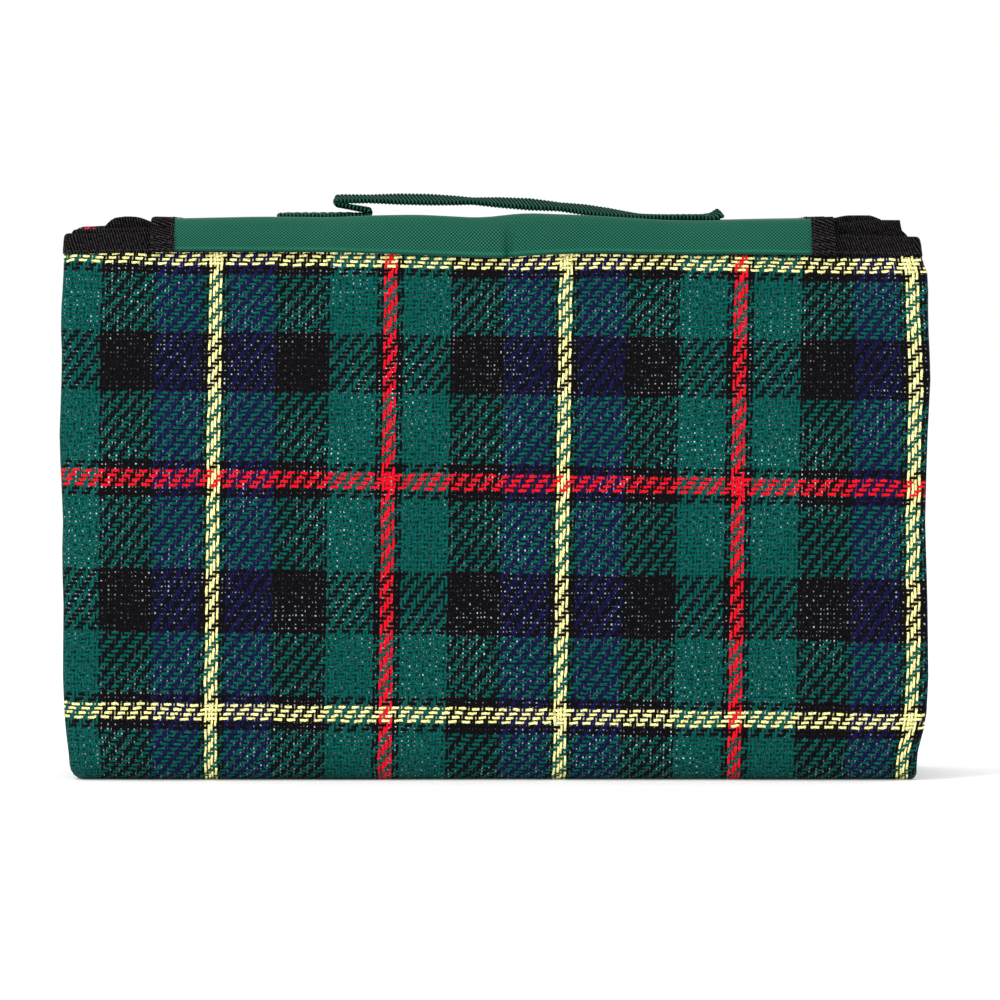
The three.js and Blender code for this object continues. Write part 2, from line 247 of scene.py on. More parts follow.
def creep(u, v):
    """How far the first panel's layers stand up, and how far their bound corners draw in."""
    fade = np.clip(1 - v / CREEP_FADE, 0, 1.05) ** 2
    lift = np.interp(u, *zip(*CREEP)) * MM * fade
    corner = np.clip(1 - v / CORNER_FADE, 0, 1.05) ** 2
    inner = INNER_DRAW * np.clip(1 - u / INNER_REACH, 0, 1) ** 2
    outer = OUTER_DRAW * np.clip(1 - (rug_width - u) / OUTER_REACH, 0, 1) ** 2
    return lift, (inner + outer) * corner


corner_lift, corner_draw = creep(np.array([rug_width]), np.array([0.0]))
print(f"the outer corner stands {corner_lift[0] / MM:.1f} mm up, and {corner_draw[0] / MM:.1f} mm in")

# %% [markdown]
# ## How the pack settles
# The whole pack also leans and swells a little, in a few long waves. Its ends are ragged, so each
# has its own outline, as a short list of heights. Every piece passes through the same smooth move
# of the space that it is in, so what lies on the rug stays on it.


# %% How the pack settles
def wave(phase, *terms):
    """A smooth wave from -1 to 1. Each term is a coordinate and its wavelength."""
    return np.sin(2 * math.pi * sum(value / length for value, length in terms) + phase)


def soft_list(pairs, value, reach):
    """A value read from pairs in millimetres, with its corners softened."""
    places, amounts = zip(*pairs)
    reads = [np.interp(value / MM + shift, places, amounts) for shift in (-reach, 0, reach)]
    return sum(reads) / 3 * MM


# How far each end of the pack stands to the right of its plain upright line, by height.
LEFT_END = [
    (0, 3.4), (8, 2.8), (22, 1.2), (40, 0.5), (71, 1.0), (87, 0.4), (103, 1.0), (134, -0.4),
    (166, 0.8), (182, 0.2), (200, 1.3), (214, 1.5), (222, 3.2),
]
RIGHT_END = [
    (0, -3.5), (12, -2.6), (18, -0.9), (24, 0.6), (40, 1.4), (71, 0.8), (103, -0.3), (134, 0.4),
    (160, 1.5), (182, 0.4), (198, 0.4), (203, -0.4), (206, -2.2), (212, -2.7), (216, -3.8),
    (221, -5.0),
]
SHOULDER_Z = 206 * MM  # above this the right end leans in behind the front panel
SHOULDER_RISE = 14 * MM
SHOULDER_DRAW = 7 * MM
LEFT_DROOP_REACH = 25 * MM
RIGHT_DROOP_REACH = 16 * MM
SAG_X = 74 * MM  # the top sags a little round here
SAG_REACH = 30 * MM


def settle(points):
    """The pack's own lean and swell, the same for every piece."""
    x, y, z = points[..., 0], points[..., 1], points[..., 2]
    left = np.clip(-x / face_high.x, 0, 1.1) ** 6
    right = np.clip(x / face_high.x, 0, 1.1) ** 6
    ragged = 0.6 * MM * wave(0.7, (y, 0.034), (z, 0.7))
    moved_x = x + left * (soft_list(LEFT_END, z, 3) - ragged)
    moved_x += right * (soft_list(RIGHT_END, z, 1.5) + ragged)
    level = np.clip(z / top_z, 0, 1.1)
    depth = np.clip((y - face_low.y) / (face_high.y - face_low.y), 0, 1)
    behind = np.clip((y - face_low.y - panel_pitch) / panel_pitch, 0, 1)
    moved_x -= right * behind * SHOULDER_DRAW * np.clip((z - SHOULDER_Z) / SHOULDER_RISE, 0, 1) ** 2
    swell = 0.8 * wave(0.8, (x, 0.24), (z, 0.31)) + 0.4 * wave(2.0, (x, 0.083), (z, -0.11))
    small = 0.16 * wave(0.3, (x, 0.041), (z, 0.06)) + 0.12 * wave(1.1, (x, -0.029), (z, 0.047))
    moved_y = y + (swell + small) * MM
    droop = hump(x, face_low.x, LEFT_DROOP_REACH) * (1.0 + 2.2 * depth)
    droop = droop + 0.8 * hump(x, face_high.x, RIGHT_DROOP_REACH)
    sag = 0.9 * hump(x, SAG_X, SAG_REACH)
    moved_z = z + (0.4 * wave(0.4, (y, 0.052), (x, 0.5)) - droop - sag) * MM * level**6
    return np.stack([moved_x, moved_y, moved_z], -1)


def rug_point(u, v, n):
    """The point of the folded rug at u across it, v along it, and n from the sheet's middle."""
    foot, normal = across.read(u)
    x = foot[..., 0] + n * normal[..., 0]
    offset = foot[..., 1] + n * normal[..., 1]
    foot, normal = along.read(v)
    lift, draw = creep(u, v)
    y = foot[..., 0] + offset * normal[..., 0]
    z = foot[..., 1] + offset * normal[..., 1] + lift
    return settle(np.stack([x - draw, y, z], -1))


centre_point = rug_point(on_layer(FRONT_LAYER, 0.0), (first_edge_z - low_fold_z) / 2, 0.0)
print("the middle of the front panel settles at", (centre_point / MM).round(1), "mm")


# %% [markdown]
# ## Slabs
# Every cloth piece here is thin and closed: a grid of points on its outer side, the same grid on
# its inner side, and a wall round the rim. One function makes them all from a place function, so a
# sheet of cloth, a strip of tape and a handle differ only in where their grid goes. Its UV map is
# in metres along the piece, so that a weave keeps its true size wherever the cloth bends.


# %% Make a thin closed piece from a grid
def link_mesh(name, mesh):
    made = bpy.data.objects.new(name, mesh)
    bpy.context.scene.collection.objects.link(made)
    return made


def mesh_object(name, points, faces, uv=None):
    mesh = bpy.data.meshes.new(name)
    mesh.from_pydata(points.tolist(), [], faces.tolist())
    if uv is not None:
        corner = np.empty(len(mesh.loops), np.int32)
        mesh.loops.foreach_get("vertex_index", corner)
        mesh.uv_layers.new(name="cloth").data.foreach_set("uv", uv[corner].ravel())
    mesh.polygons.foreach_set("use_smooth", [True] * len(mesh.polygons))
    mesh.set_sharp_from_angle(angle=math.radians(50))
    mesh.update()
    return link_mesh(name, mesh)


def signed_volume(points, faces):
    corners = points[faces]
    first = np.einsum("ij,ij->i", corners[:, 0], np.cross(corners[:, 1], corners[:, 2]))
    second = np.einsum("ij,ij->i", corners[:, 0], np.cross(corners[:, 2], corners[:, 3]))
    return (first.sum() + second.sum()) / 6


def slab(name, place, p, q, low, high, uv=None):
    """A closed piece between two distances from its middle. low and high may vary over the grid."""
    grid_p, grid_q = np.meshgrid(p, q, indexing="ij")
    low, high = (side(grid_p, grid_q) if callable(side) else side for side in (low, high))
    outer = place(grid_p, grid_q, high + 0 * grid_p)
    inner = place(grid_p, grid_q, low + 0 * grid_p)
    points = np.concatenate([outer.reshape(-1, 3), inner.reshape(-1, 3)])
    index = np.arange(grid_p.size).reshape(grid_p.shape)
    top = np.stack([index[:-1, :-1], index[:-1, 1:], index[1:, 1:], index[1:, :-1]], -1)
    top = top.reshape(-1, 4)
    rim = np.concatenate([index[0, :-1], index[:-1, -1], index[-1, :0:-1], index[:0:-1, 0]])
    after = np.roll(rim, -1)
    wall = np.stack([after, rim, rim + index.size, after + index.size], -1)
    faces = np.concatenate([top, top[:, ::-1] + index.size, wall])
    if signed_volume(points, faces) < 0:
        faces = faces[:, ::-1]
    flat = np.stack(uv(grid_p, grid_q) if uv else (grid_p, grid_q), -1).reshape(-1, 2)
    return mesh_object(name, points, faces, np.concatenate([flat, flat]))


# %% [markdown]
# ## A short way to write shaders
# Procedural cloth needs a good deal of arithmetic, and each Math node takes four lines to add. This
# helper adds a node for each call and returns its output, so a weave reads like a formula. Values
# that don't vary over the surface go straight on the shader's own sockets.


# %% A shader helper
class Shader:
    def __init__(self, name, roughness, specular=0.5):
        self.material = bpy.data.materials.new(name)
        self.material.use_nodes = True
        self.tree = self.material.node_tree
        self.surface = self.tree.nodes["Principled BSDF"]
        self.surface.inputs["Roughness"].default_value = roughness
        self.surface.inputs["Specular IOR Level"].default_value = specular

    def put(self, socket, value):
        if isinstance(value, bpy.types.NodeSocket):
            self.tree.links.new(value, socket)
        elif socket.type == "RGBA":
            socket.default_value = (*value, 1.0)
        else:
            socket.default_value = value

    def math(self, operation, *values):
        node = self.tree.nodes.new("ShaderNodeMath")
        node.operation = operation
        for socket, value in zip(node.inputs, values):
            self.put(socket, value)
        return node.outputs[0]

    def sum(self, first, *others):
        for other in others:
            first = self.math("ADD", first, other)
        return first

    def times(self, first, *others):
        for other in others:
            first = self.math("MULTIPLY", first, other)
        return first

    def wave(self, value, length):
        return self.math("SINE", self.times(value, 2 * math.pi / length))

    def remap(self, value, low, high, to_low, to_high, smooth=False):
        node = self.tree.nodes.new("ShaderNodeMapRange")
        node.interpolation_type = "SMOOTHSTEP" if smooth else "LINEAR"
        for socket, given in zip(node.inputs, (value, low, high, to_low, to_high)):
            self.put(socket, given)
        return node.outputs[0]

    def mix(self, factor, first, second, blend="MIX"):
        node = self.tree.nodes.new("ShaderNodeMix")
        node.data_type = "RGBA"
        node.blend_type = blend
        colours = [socket for socket in node.inputs if socket.type == "RGBA"]
        self.put(node.inputs[0], factor)
        self.put(colours[0], first)
        self.put(colours[1], second)
        return next(socket for socket in node.outputs if socket.type == "RGBA")

    def vector(self, x, y, z=0.0):
        node = self.tree.nodes.new("ShaderNodeCombineXYZ")
        for socket, value in zip(node.inputs, (x, y, z)):
            self.put(socket, value)
        return node.outputs[0]

    def noise(self, vector, scale, detail=2.0):
        node = self.tree.nodes.new("ShaderNodeTexNoise")
        self.put(node.inputs["Vector"], vector)
        self.put(node.inputs["Scale"], scale)
        self.put(node.inputs["Detail"], detail)
        return node.outputs[0]

    def cloth(self):
        """The piece's own UV map, in metres, as two numbers."""
        node = self.tree.nodes.new("ShaderNodeUVMap")
        node.uv_map = "cloth"
        split = self.tree.nodes.new("ShaderNodeSeparateXYZ")
        self.put(split.inputs[0], node.outputs[0])
        return split.outputs[0], split.outputs[1]

    def scaled(self, colour, amount):
        return self.mix(1.0, colour, self.vector(amount, amount, amount), "MULTIPLY")

    def relief(self, height, depth):
        node = self.tree.nodes.new("ShaderNodeBump")
        node.inputs["Distance"].default_value = depth
        self.put(node.inputs["Height"], height)
        self.put(self.surface.inputs["Normal"], node.outputs[0])

    def colour(self, value):
        self.put(self.surface.inputs["Base Color"], value)
        return self.material


def srgb(red, green, blue):
    """A colour as it looks, in steps of 255, turned into the light values that shaders use."""
    steps = [value / 255 for value in (red, green, blue)]
    return tuple(s / 12.92 if s <= 0.04045 else ((s + 0.055) / 1.055) ** 2.4 for s in steps)


print("a middle grey gives off", round(srgb(128, 128, 128)[0], 3), "of the light that falls on it")

# %% [markdown]
# ## The tartan
# The face is a two-over, two-under twill of soft acrylic yarn. A printed check would look flat, so
# the shader weaves it: each warp end and each weft pick rises and dives as it crosses the others,
# and whichever stands higher gives the colour, the relief and the shadow beside it. The stripes
# come from the order of coloured yarns in one repeat of 104 ends. The weft has no blue. Ends
# come through the reed in pairs, and the pale core shows through the holes between the pairs.

# %% The order of the yarns
END = 1.323 * MM  # from one warp end to the next
PICK = 1.704 * MM  # from one weft pick to the next
REPEAT = 104
HALF_STRIPE = 2.0  # half the yellow stripe, in yarns: lengths start at its middle
YELLOW, RED, GREEN, BLUE, BLACK = range(5)
YARNS = {
    YELLOW: srgb(236, 228, 148),
    RED: srgb(222, 12, 32),
    GREEN: srgb(1, 74, 68),
    BLUE: srgb(15, 16, 56),
    BLACK: srgb(10, 8, 11),
}
WARP_SETT = [
    (YELLOW, 4), (BLACK, 2), (BLUE, 14), (BLACK, 16), (GREEN, 14), (BLACK, 2),
    (RED, 4), (BLACK, 2), (GREEN, 14), (BLACK, 16), (BLUE, 14), (BLACK, 2),
]
WEFT_SETT = [
    (YELLOW, 4), (BLACK, 2), (GREEN, 14), (BLACK, 14), (GREEN, 16), (BLACK, 2),
    (RED, 4), (BLACK, 2), (GREEN, 16), (BLACK, 14), (GREEN, 14), (BLACK, 2),
]
print(f"one repeat is {REPEAT * END / MM:.0f} mm across and {REPEAT * PICK / MM:.0f} mm long")

# %% [markdown]
# ## Where the stripes fall
# The cloth's own lengths say which yarn lies where. They start where two yellow stripes cross on
# the front panel. The picks slope a little, the flap's seam pulls the top stripe up, and near the
# right fold the stripes draw in.

# %% Measure along the cloth
YELLOW_END_X = -108.95 * MM  # where the yellow stripes cross on the front panel
YELLOW_PICK_Z = 204.0 * MM
WEFT_SKEW = 0.0140  # how far the picks slope down, and the ends lean, on the folded panel
WARP_LEAN = 0.0135

# How far the flap's seam pulls the top yellow stripe up, across the front, in millimetres.
TOP_ROW = [
    (-160, 0.9), (-143, 0.3), (-127, -0.8), (-96, 0.1), (-20, 0), (3, -0.5), (18, 0.1), (42, 1.3),
    (62, 1.1), (81, 1.4), (113, 0.9), (132, 0.6), (148, 1.5),
]
PULL_FADE = 60 * MM  # how far below the stripe the seam's pull dies out
DRAW_START_X = 118 * MM  # the stripes draw in from here to the right fold
DRAW_REACH = 42 * MM
DRAW_FADE = 75 * MM
FOLD_DRAW = 2.4 * MM
SLACK = 4.2 * MM  # the picks lie a little closer together below the top stripe
SLACK_AT = 58 * MM
SLACK_REACH = 80 * MM

face_middle = sheet_thickness / 2 - 0.4 * MM
front_start = across.legs[FRONT_LAYER][0] - face_middle * across.turned(
    np.array(across.legs[FRONT_LAYER][0])
)


def rug_uv(u, v):
    """Metres on the cloth, from the yellow crossing, with the weave's own skew.

    The face lies outside the sheet's middle, and each layer turns on its own radius, so both
    lengths are measured where the face really is. The layers slip on each other to allow it."""
    foot, normal = across.read(u)
    layer = foot[..., 1] + face_middle * normal[..., 1]
    u = u - face_middle * across.turned(u)
    x = right_fold_x - (u - front_start)
    down = v - layer * along.turned(v) - (first_edge_z - YELLOW_PICK_Z)
    from_yellow = x - YELLOW_END_X
    pulled = soft_list(TOP_ROW, x, 4) * np.clip(1 - down / PULL_FADE, 0, 1)
    near_fold = np.clip((x - DRAW_START_X) / DRAW_REACH, 0, 1) ** 2
    drawn = FOLD_DRAW * np.clip(1 - down / DRAW_FADE, -0.1, 1) * near_fold
    down = down + SLACK * hump(down, SLACK_AT, SLACK_REACH)
    return from_yellow + WARP_LEAN * down + drawn, down + pulled - WEFT_SKEW * from_yellow


print(f"the face is {2 * face_middle / MM:.1f} mm further out on one side of a fold than the other")

# %% [markdown]
# ## The weave itself
# Each yarn is a round ridge that wanders a little and rises and dips in a wave. Where the two
# systems cross, the higher one shows. Fluff and slubs make the colour uneven, as spun yarn is, and
# painted shade darkens the colour between the yarns and down their sides.


# %% Weave the tartan
DRIFT = 1.1  # how far a yarn wanders, in yarns
FUZZ = 0.34  # how ragged its outline is, in yarns
END_HALF_WIDTH = 0.36  # half a warp end's width, as a share of END
PICK_HALF_WIDTH = 0.31
PAIR_SHIFT = 0.16  # how far the ends of a pair stand together
BARE = -0.85  # below this height no yarn covers the core


def stripes(shader, yarn, sett):
    """The colour of a yarn, from its number and the order of the colours in a repeat."""
    node = shader.tree.nodes.new("ShaderNodeValToRGB")
    node.color_ramp.interpolation = "CONSTANT"
    place_in_repeat = shader.math("DIVIDE", shader.math("ADD", yarn, 0.5), float(REPEAT))
    shader.put(node.inputs[0], shader.math("FRACT", place_in_repeat))
    place = 0.0
    for k, (colour, count) in enumerate(sett):
        stop = node.color_ramp.elements[0] if k == 0 else node.color_ramp.elements.new(place)
        stop.position = place
        stop.color = (*YARNS[colour], 1.0)
        place += count / REPEAT
    node.color_ramp.elements.remove(node.color_ramp.elements[-1])
    return node.outputs[0]


def yarn_round(shader, position, middle, half_width):
    """A yarn's round top, and 1 where it covers the cloth. Positions are shares of the pitch."""
    away = shader.math("DIVIDE", shader.math("SUBTRACT", position, middle), half_width)
    left = shader.math("MULTIPLY_ADD", shader.times(away, away), -1.0, 1.0)
    top = shader.math("SQRT", shader.math("MAXIMUM", left, 0.0))
    return top, shader.math("GREATER_THAN", left, 0.0)


def tartan_material():
    shader = Shader("tartan_cloth", roughness=1.0, specular=0.08)
    u, v = shader.cloth()
    cloth = shader.vector(u, v)
    turned = shader.vector(v, u, 3.7)
    drift = shader.times(shader.noise(cloth, 95.0), DRIFT)
    other_drift = shader.times(shader.noise(turned, 95.0), DRIFT)
    fuzz = shader.times(shader.noise(cloth, 1500.0), FUZZ)
    other_fuzz = shader.times(shader.noise(turned, 1500.0), FUZZ)
    start = HALF_STRIPE - (DRIFT + FUZZ) / 2
    ends = shader.sum(shader.times(u, 1 / END), drift, fuzz, start)
    picks = shader.sum(shader.times(v, 1 / PICK), other_drift, other_fuzz, start)
    end = shader.math("FLOOR", ends)
    pick = shader.math("FLOOR", picks)

    quarter = math.pi / 2
    end_phase = shader.math("MULTIPLY_ADD", shader.sum(end, picks), quarter, -3 * quarter)
    pick_phase = shader.math("MULTIPLY_ADD", shader.sum(ends, pick), quarter, -quarter)

    paired = shader.math("FLOORED_MODULO", end, 2.0)
    end_tilt = shader.times(shader.math("SINE", end_phase), -0.06)
    end_middle = shader.sum(shader.times(paired, PAIR_SHIFT), end_tilt, 0.5 - PAIR_SHIFT / 2)
    lean = shader.remap(shader.noise(turned, 260.0), 0.3, 0.7, 0.08, -0.14)
    pick_middle = shader.math("MULTIPLY_ADD", shader.math("SINE", pick_phase), lean, 0.5)
    within_end = shader.math("FRACT", ends)
    within_pick = shader.math("FRACT", picks)
    end_round, end_covers = yarn_round(shader, within_end, end_middle, END_HALF_WIDTH)
    pick_round, pick_covers = yarn_round(shader, within_pick, pick_middle, PICK_HALF_WIDTH)

    def yarn_height(phase, top, covers):
        crimp = shader.times(shader.math("COSINE", phase), 0.5)
        return shader.sum(crimp, shader.times(top, 0.45), shader.times(covers, 2.0), -2.0)

    end_height = yarn_height(end_phase, end_round, end_covers)
    pick_height = yarn_height(pick_phase, pick_round, pick_covers)
    warp_shows = shader.math("GREATER_THAN", end_height, pick_height)
    height = shader.math("MAXIMUM", shader.math("MAXIMUM", end_height, pick_height), -0.9)
    top = shader.sum(
        shader.times(warp_shows, end_round),
        shader.times(shader.math("SUBTRACT", 1.0, warp_shows), pick_round),
    )

    colour = shader.mix(
        warp_shows, stripes(shader, pick, WEFT_SETT), stripes(shader, end, WARP_SETT)
    )
    fibre = shader.noise(shader.vector(shader.times(u, 1700.0), shader.times(v, 1700.0)), 1.0, 3.0)
    fluff = shader.remap(fibre, 0.3, 0.7, 0.34, 1.52)
    # Painted shade: the colour darkens where a yarn sinks below the others, and towards the sides of
    # each yarn's round top.
    painted_crevice_shade = shader.remap(height, -0.55, 0.75, 0.35, 1.10, smooth=True)
    side = shader.remap(top, 0.0, 0.85, 0.35, 1.12)
    slub = shader.remap(shader.noise(turned, 560.0), 0.3, 0.7, 0.62, 1.36)
    colour = shader.scaled(colour, shader.times(fluff, slub, painted_crevice_shade, side))

    loose_patch = shader.remap(shader.noise(cloth, 30.0), 0.4, 0.68, 0.12, 1.0)
    open_hole = shader.remap(shader.noise(cloth, 620.0), 0.50, 0.62, 0.0, 1.0)
    # In most holes between the yarns the colour is painted near-black, as painted shade in the hole; in
    # some the pale core shows through.
    core_and_hole_shade = shader.mix(shader.times(loose_patch, open_hole), srgb(8, 8, 11), srgb(186, 208, 208))
    colour = shader.mix(shader.math("LESS_THAN", height, BARE), colour, core_and_hole_shade)

    shader.relief(shader.math("MULTIPLY_ADD", fibre, 0.25, height), 0.40 * MM)
    return shader.colour(colour)


# %% [markdown]
# ## The other finishes
# The binding is a ribbed tape, so its ribs run across its length, with painted shade between them
# and painted glints on them. The flap is a tight basket weave of polyester with a soft shine, hemmed
# along its sewn edge; painted shade and highlight in its colour draw the weave and the hem. The
# webbing's ribs are real relief in its mesh, and its shader paints shade into the grooves between
# them and adds the threads. The foam, the lining and the closure tapes show when the flap is lifted,
# so each has a plain finish of its own.


# %% Tape
TAPE_RIB_PITCH = 1.12 * MM
TAPE_THREAD_PITCH = 0.8 * MM


def tape_material():
    shader = Shader("ribbed_tape", roughness=0.9, specular=0.04)
    length, width = shader.cloth()
    drift = shader.times(shader.noise(shader.vector(length, width), 140.0), 0.5 * MM)
    slant = shader.times(width, 0.34)
    rib = shader.wave(shader.sum(length, slant, drift), TAPE_RIB_PITCH)
    thread = shader.wave(shader.sum(width, shader.times(length, 0.2)), TAPE_THREAD_PITCH)
    height = shader.sum(shader.times(rib, 0.45), shader.times(thread, 0.22))
    fleck = shader.noise(shader.vector(shader.times(length, 900.0), shader.times(width, 900.0)), 1.0)
    # Painted shade and highlight: the colour is darkest in the grooves between the ribs and bright on
    # their crests, and its bright flecks are painted glints.
    tone = shader.times(
        shader.remap(height, -0.1, 0.5, 0.0, 3.4), shader.remap(fleck, 0.3, 0.7, 0.1, 2.0)
    )
    shader.relief(height, 0.22 * MM)
    return shader.colour(shader.scaled(srgb(22, 20, 21), tone))


# %% Flap cloth, lining and backing
BASKET_WIDTH = 1.4 * MM
BASKET_HEIGHT = 1.3 * MM
BASKET_THREAD = 0.23 * MM


def painted_hem_light(shader, up_cloth, painted_weave_shade, tone):
    """Painted edge shade and roll highlight, and weave shade that fades near the edge and the bend."""
    # Painted shade on the lowest millimetre, then a painted highlight on the hem's roll above it.
    rolled = shader.remap(up_cloth, 0.9 * MM, 1.6 * MM, 0.60, 1.5, smooth=True)
    past_roll = shader.remap(up_cloth, 1.9 * MM, 2.7 * MM, 1.0, 0.667, smooth=True)
    # The painted weave shade is fainter near the edge and where the cloth bends over the top.
    woven = shader.remap(up_cloth, 1.0 * MM, 3.4 * MM, 0.45, 1.0)
    crisp = shader.remap(up_cloth, 8 * MM, 13 * MM, 1.0, 0.4, smooth=True)
    return shader.times(painted_weave_shade, crisp, woven), shader.times(tone, rolled, past_roll)


def oxford_material(name, colour, roughness, specular=0.2, with_painted_hem=False):
    shader = Shader(name, roughness=roughness, specular=specular)
    across_cloth, up_cloth = shader.cloth()
    columns = shader.wave(across_cloth, BASKET_WIDTH)
    rows = shader.wave(up_cloth, BASKET_HEIGHT)
    basket = shader.times(columns, rows)
    threads = shader.times(shader.wave(across_cloth, BASKET_THREAD), 0.12)
    height = shader.sum(basket, threads)
    patch = shader.noise(shader.vector(across_cloth, up_cloth), 18.0)
    # Painted shade: the basket weave's hollows are darker and its crests lighter in the colour.
    painted_weave_shade = shader.remap(basket, -0.5, 0.5, -1.0, 1.0)
    tone = shader.remap(patch, 0.3, 0.7, 0.94, 1.06)
    if with_painted_hem:
        painted_weave_shade, tone = painted_hem_light(shader, up_cloth, painted_weave_shade, tone)
    tone = shader.times(tone, shader.math("MULTIPLY_ADD", painted_weave_shade, 0.92, 1.0))
    shader.relief(height, 0.07 * MM)
    return shader.colour(shader.scaled(colour, tone))


# %% Webbing
RIB_PITCH = 1.5 * MM
RIB_SLANT = 0.13  # how far the ribs slope, per unit of width


def webbing_material():
    shader = Shader("handle_webbing", roughness=0.85, specular=0.06)
    length, width = shader.cloth()
    thread = shader.wave(shader.sum(length, shader.times(width, 0.8)), 0.42 * MM)
    fleck = shader.noise(shader.vector(shader.times(length, 700.0), shader.times(width, 700.0)), 1.0)
    phase = shader.times(shader.sum(length, shader.times(width, RIB_SLANT)), math.pi / RIB_PITCH)
    rib = shader.math("ABSOLUTE", shader.math("SINE", phase))
    # Painted shade and highlight: the colour is near-black in the grooves between the ribs and bright
    # on their crests, and the threads are shaded by their own relief.
    tone = shader.times(
        shader.remap(rib, 0.60, 1.0, 0.0, 3.9),
        shader.remap(thread, -1.0, 1.0, 0.75, 1.25),
        shader.remap(fleck, 0.3, 0.7, 0.7, 1.3),
    )
    shader.relief(thread, 0.08 * MM)
    return shader.colour(shader.scaled(srgb(11, 48, 38), tone))


# %% The plain finishes
def speckled_material(name, colour, roughness, grain, depth, contrast):
    shader = Shader(name, roughness=roughness, specular=0.2)
    length, width = shader.cloth()
    place = shader.vector(length, width)
    fleck = shader.noise(place, 1000 / grain, 3.0)
    shader.relief(fleck, depth * MM)
    tone = shader.remap(fleck, 0.3, 0.7, 1 - contrast, 1 + contrast)
    return shader.colour(shader.scaled(colour, tone))


finish = {
    "tartan_cloth": tartan_material(),
    "ribbed_tape": tape_material(),
    "flap_cloth": oxford_material("flap_cloth", srgb(14, 78, 61), 0.5, 0.12, with_painted_hem=True),
    "coated_backing": oxford_material("coated_backing", srgb(12, 70, 54), 0.42),
    "flap_lining": oxford_material("flap_lining", srgb(28, 31, 31), 0.6),
    "handle_webbing": webbing_material(),
}
PLAIN_FINISHES = {  # colour, roughness, grain and relief in millimetres, and contrast
    "pale_foam": (srgb(205, 202, 192), 0.9, 0.9, 0.25, 0.08),
    "loop_pile": (srgb(30, 30, 32), 0.95, 0.5, 0.5, 0.5),
    "hook_pile": (srgb(28, 28, 30), 0.5, 0.8, 0.1, 0.2),
    "dark_thread": (srgb(46, 43, 46), 0.6, 0.3, 0.05, 0.25),
    "green_thread": (srgb(24, 84, 64), 0.6, 0.3, 0.05, 0.25),
}
for name, values in PLAIN_FINISHES.items():
    finish[name] = speckled_material(name, *values)
print("finishes:", sorted(finish))


def dress(piece, slot, nodes):
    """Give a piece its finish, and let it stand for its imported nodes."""
    piece.data.materials.append(finish[slot])
    if nodes:
        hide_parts(*nodes)
    return piece


# %% [markdown]
# ## The floor
# The blanket stands on a plain pale floor. It is made first, because the rug rests on it. It gives
# off a little light, so that it stays as pale as the room behind it.

# %% Lay the floor
floor_name = "floor"
FLOOR_REACH = 8.0


def make_floor():
    reach = FLOOR_REACH
    corners = np.array([[-reach, -reach, 0], [reach, -reach, 0], [reach, reach, 0], [-reach, reach, 0]])
    floor = mesh_object(floor_name, corners, np.array([[0, 1, 2, 3]]))
    shader = Shader("pale_floor", roughness=0.8)
    shader.put(shader.surface.inputs["Emission Color"], (1.0, 1.0, 1.0))
    shader.put(shader.surface.inputs["Emission Strength"], 0.12)
    floor.data.materials.append(shader.colour((0.92, 0.92, 0.92)))


make_floor()
print(f"the floor is {2 * FLOOR_REACH:.0f} m square")

# %% [markdown]
# ## The rug's three plies
# Face, foam and backing are three slabs on the same two routes, at three distances from the
# sheet's middle. The face has the finest grid, because it is what shows.

# %% Make the plies
EDGE_PLAY = 0.5 * MM  # the plies stop short of the inside of the tape
FOAM_INSET = 4 * MM  # the foam stops short of the tape's turn
FACE_STEP = 8.5 * MM
CORE_STEP = 16 * MM
BACKING_THICKNESS = 0.2 * MM
FOAM_THICKNESS = 0.8 * MM
PLY_GAP = 0.1 * MM

# Distances from the sheet's middle, from the backing's outer side to the face's.
sheet_low_n = -sheet_thickness / 2
backing_high_n = sheet_low_n + BACKING_THICKNESS
foam_low_n = backing_high_n + PLY_GAP
foam_high_n = foam_low_n + FOAM_THICKNESS
face_low_n = foam_high_n + PLY_GAP
face_high_n = sheet_thickness / 2


def within(marks, inset):
    """A route's stations, drawn in from both ends."""
    return np.clip(marks, marks[0] + inset, marks[-1] - inset)


def rug_ply(name, node, slot, low, high, step, inset=EDGE_PLAY):
    columns = within(across.stations(step, turn_steps=8), inset)
    rows = within(along.stations(step, turn_steps=12), inset)
    ply = slab(name, rug_point, columns, rows, low, high, rug_uv)
    dress(ply, slot, [node])
    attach(ply, "pack")
    print(name, len(ply.data.polygons), "faces")


rug_ply("rug_face", "face_cloth", "tartan_cloth", face_low_n, face_high_n, FACE_STEP)
rug_ply("rug_foam", "foam_core", "pale_foam", foam_low_n, foam_high_n, CORE_STEP, FOAM_INSET)
rug_ply("rug_backing", "backing_sheet", "coated_backing", sheet_low_n, backing_high_n, CORE_STEP)

# %% [markdown]
# ## Binding tape
# The tape is folded over the rug's raw edge and sewn through. Seen end on, it is a hairpin: a run
# up one side, a tight turn round the edge, and a run down the other. That hairpin is a route too,
# and it is carried along the edge by the same functions that fold the cloth.


# %% Bind the edges
def hairpin(width, half_thickness):
    """The middle line of a folded tape, in (depth from the bound edge, distance from middle)."""
    radius = half_thickness - TAPE_WALL / 2
    turn_depth = radius - TAPE_WALL / 2
    mouth = width - TAPE_WALL
    return (
        Route((mouth, -radius), 180)
        .run(mouth - turn_depth)
        .turn(radius, -180)
        .run(mouth - turn_depth)
    )


def bind(name, place_edge, marks, tape):
    """Tape along an edge. place_edge(along, depth, distance) is a point near that edge."""

    def place(p, q, n):
        foot, normal = tape.read(q)
        return place_edge(p, foot[..., 0] + n * normal[..., 0], foot[..., 1] + n * normal[..., 1])

    rows = tape.stations(2.2 * MM, turn_steps=8)
    return slab(name, place, marks, rows, -TAPE_WALL / 2, TAPE_WALL / 2)


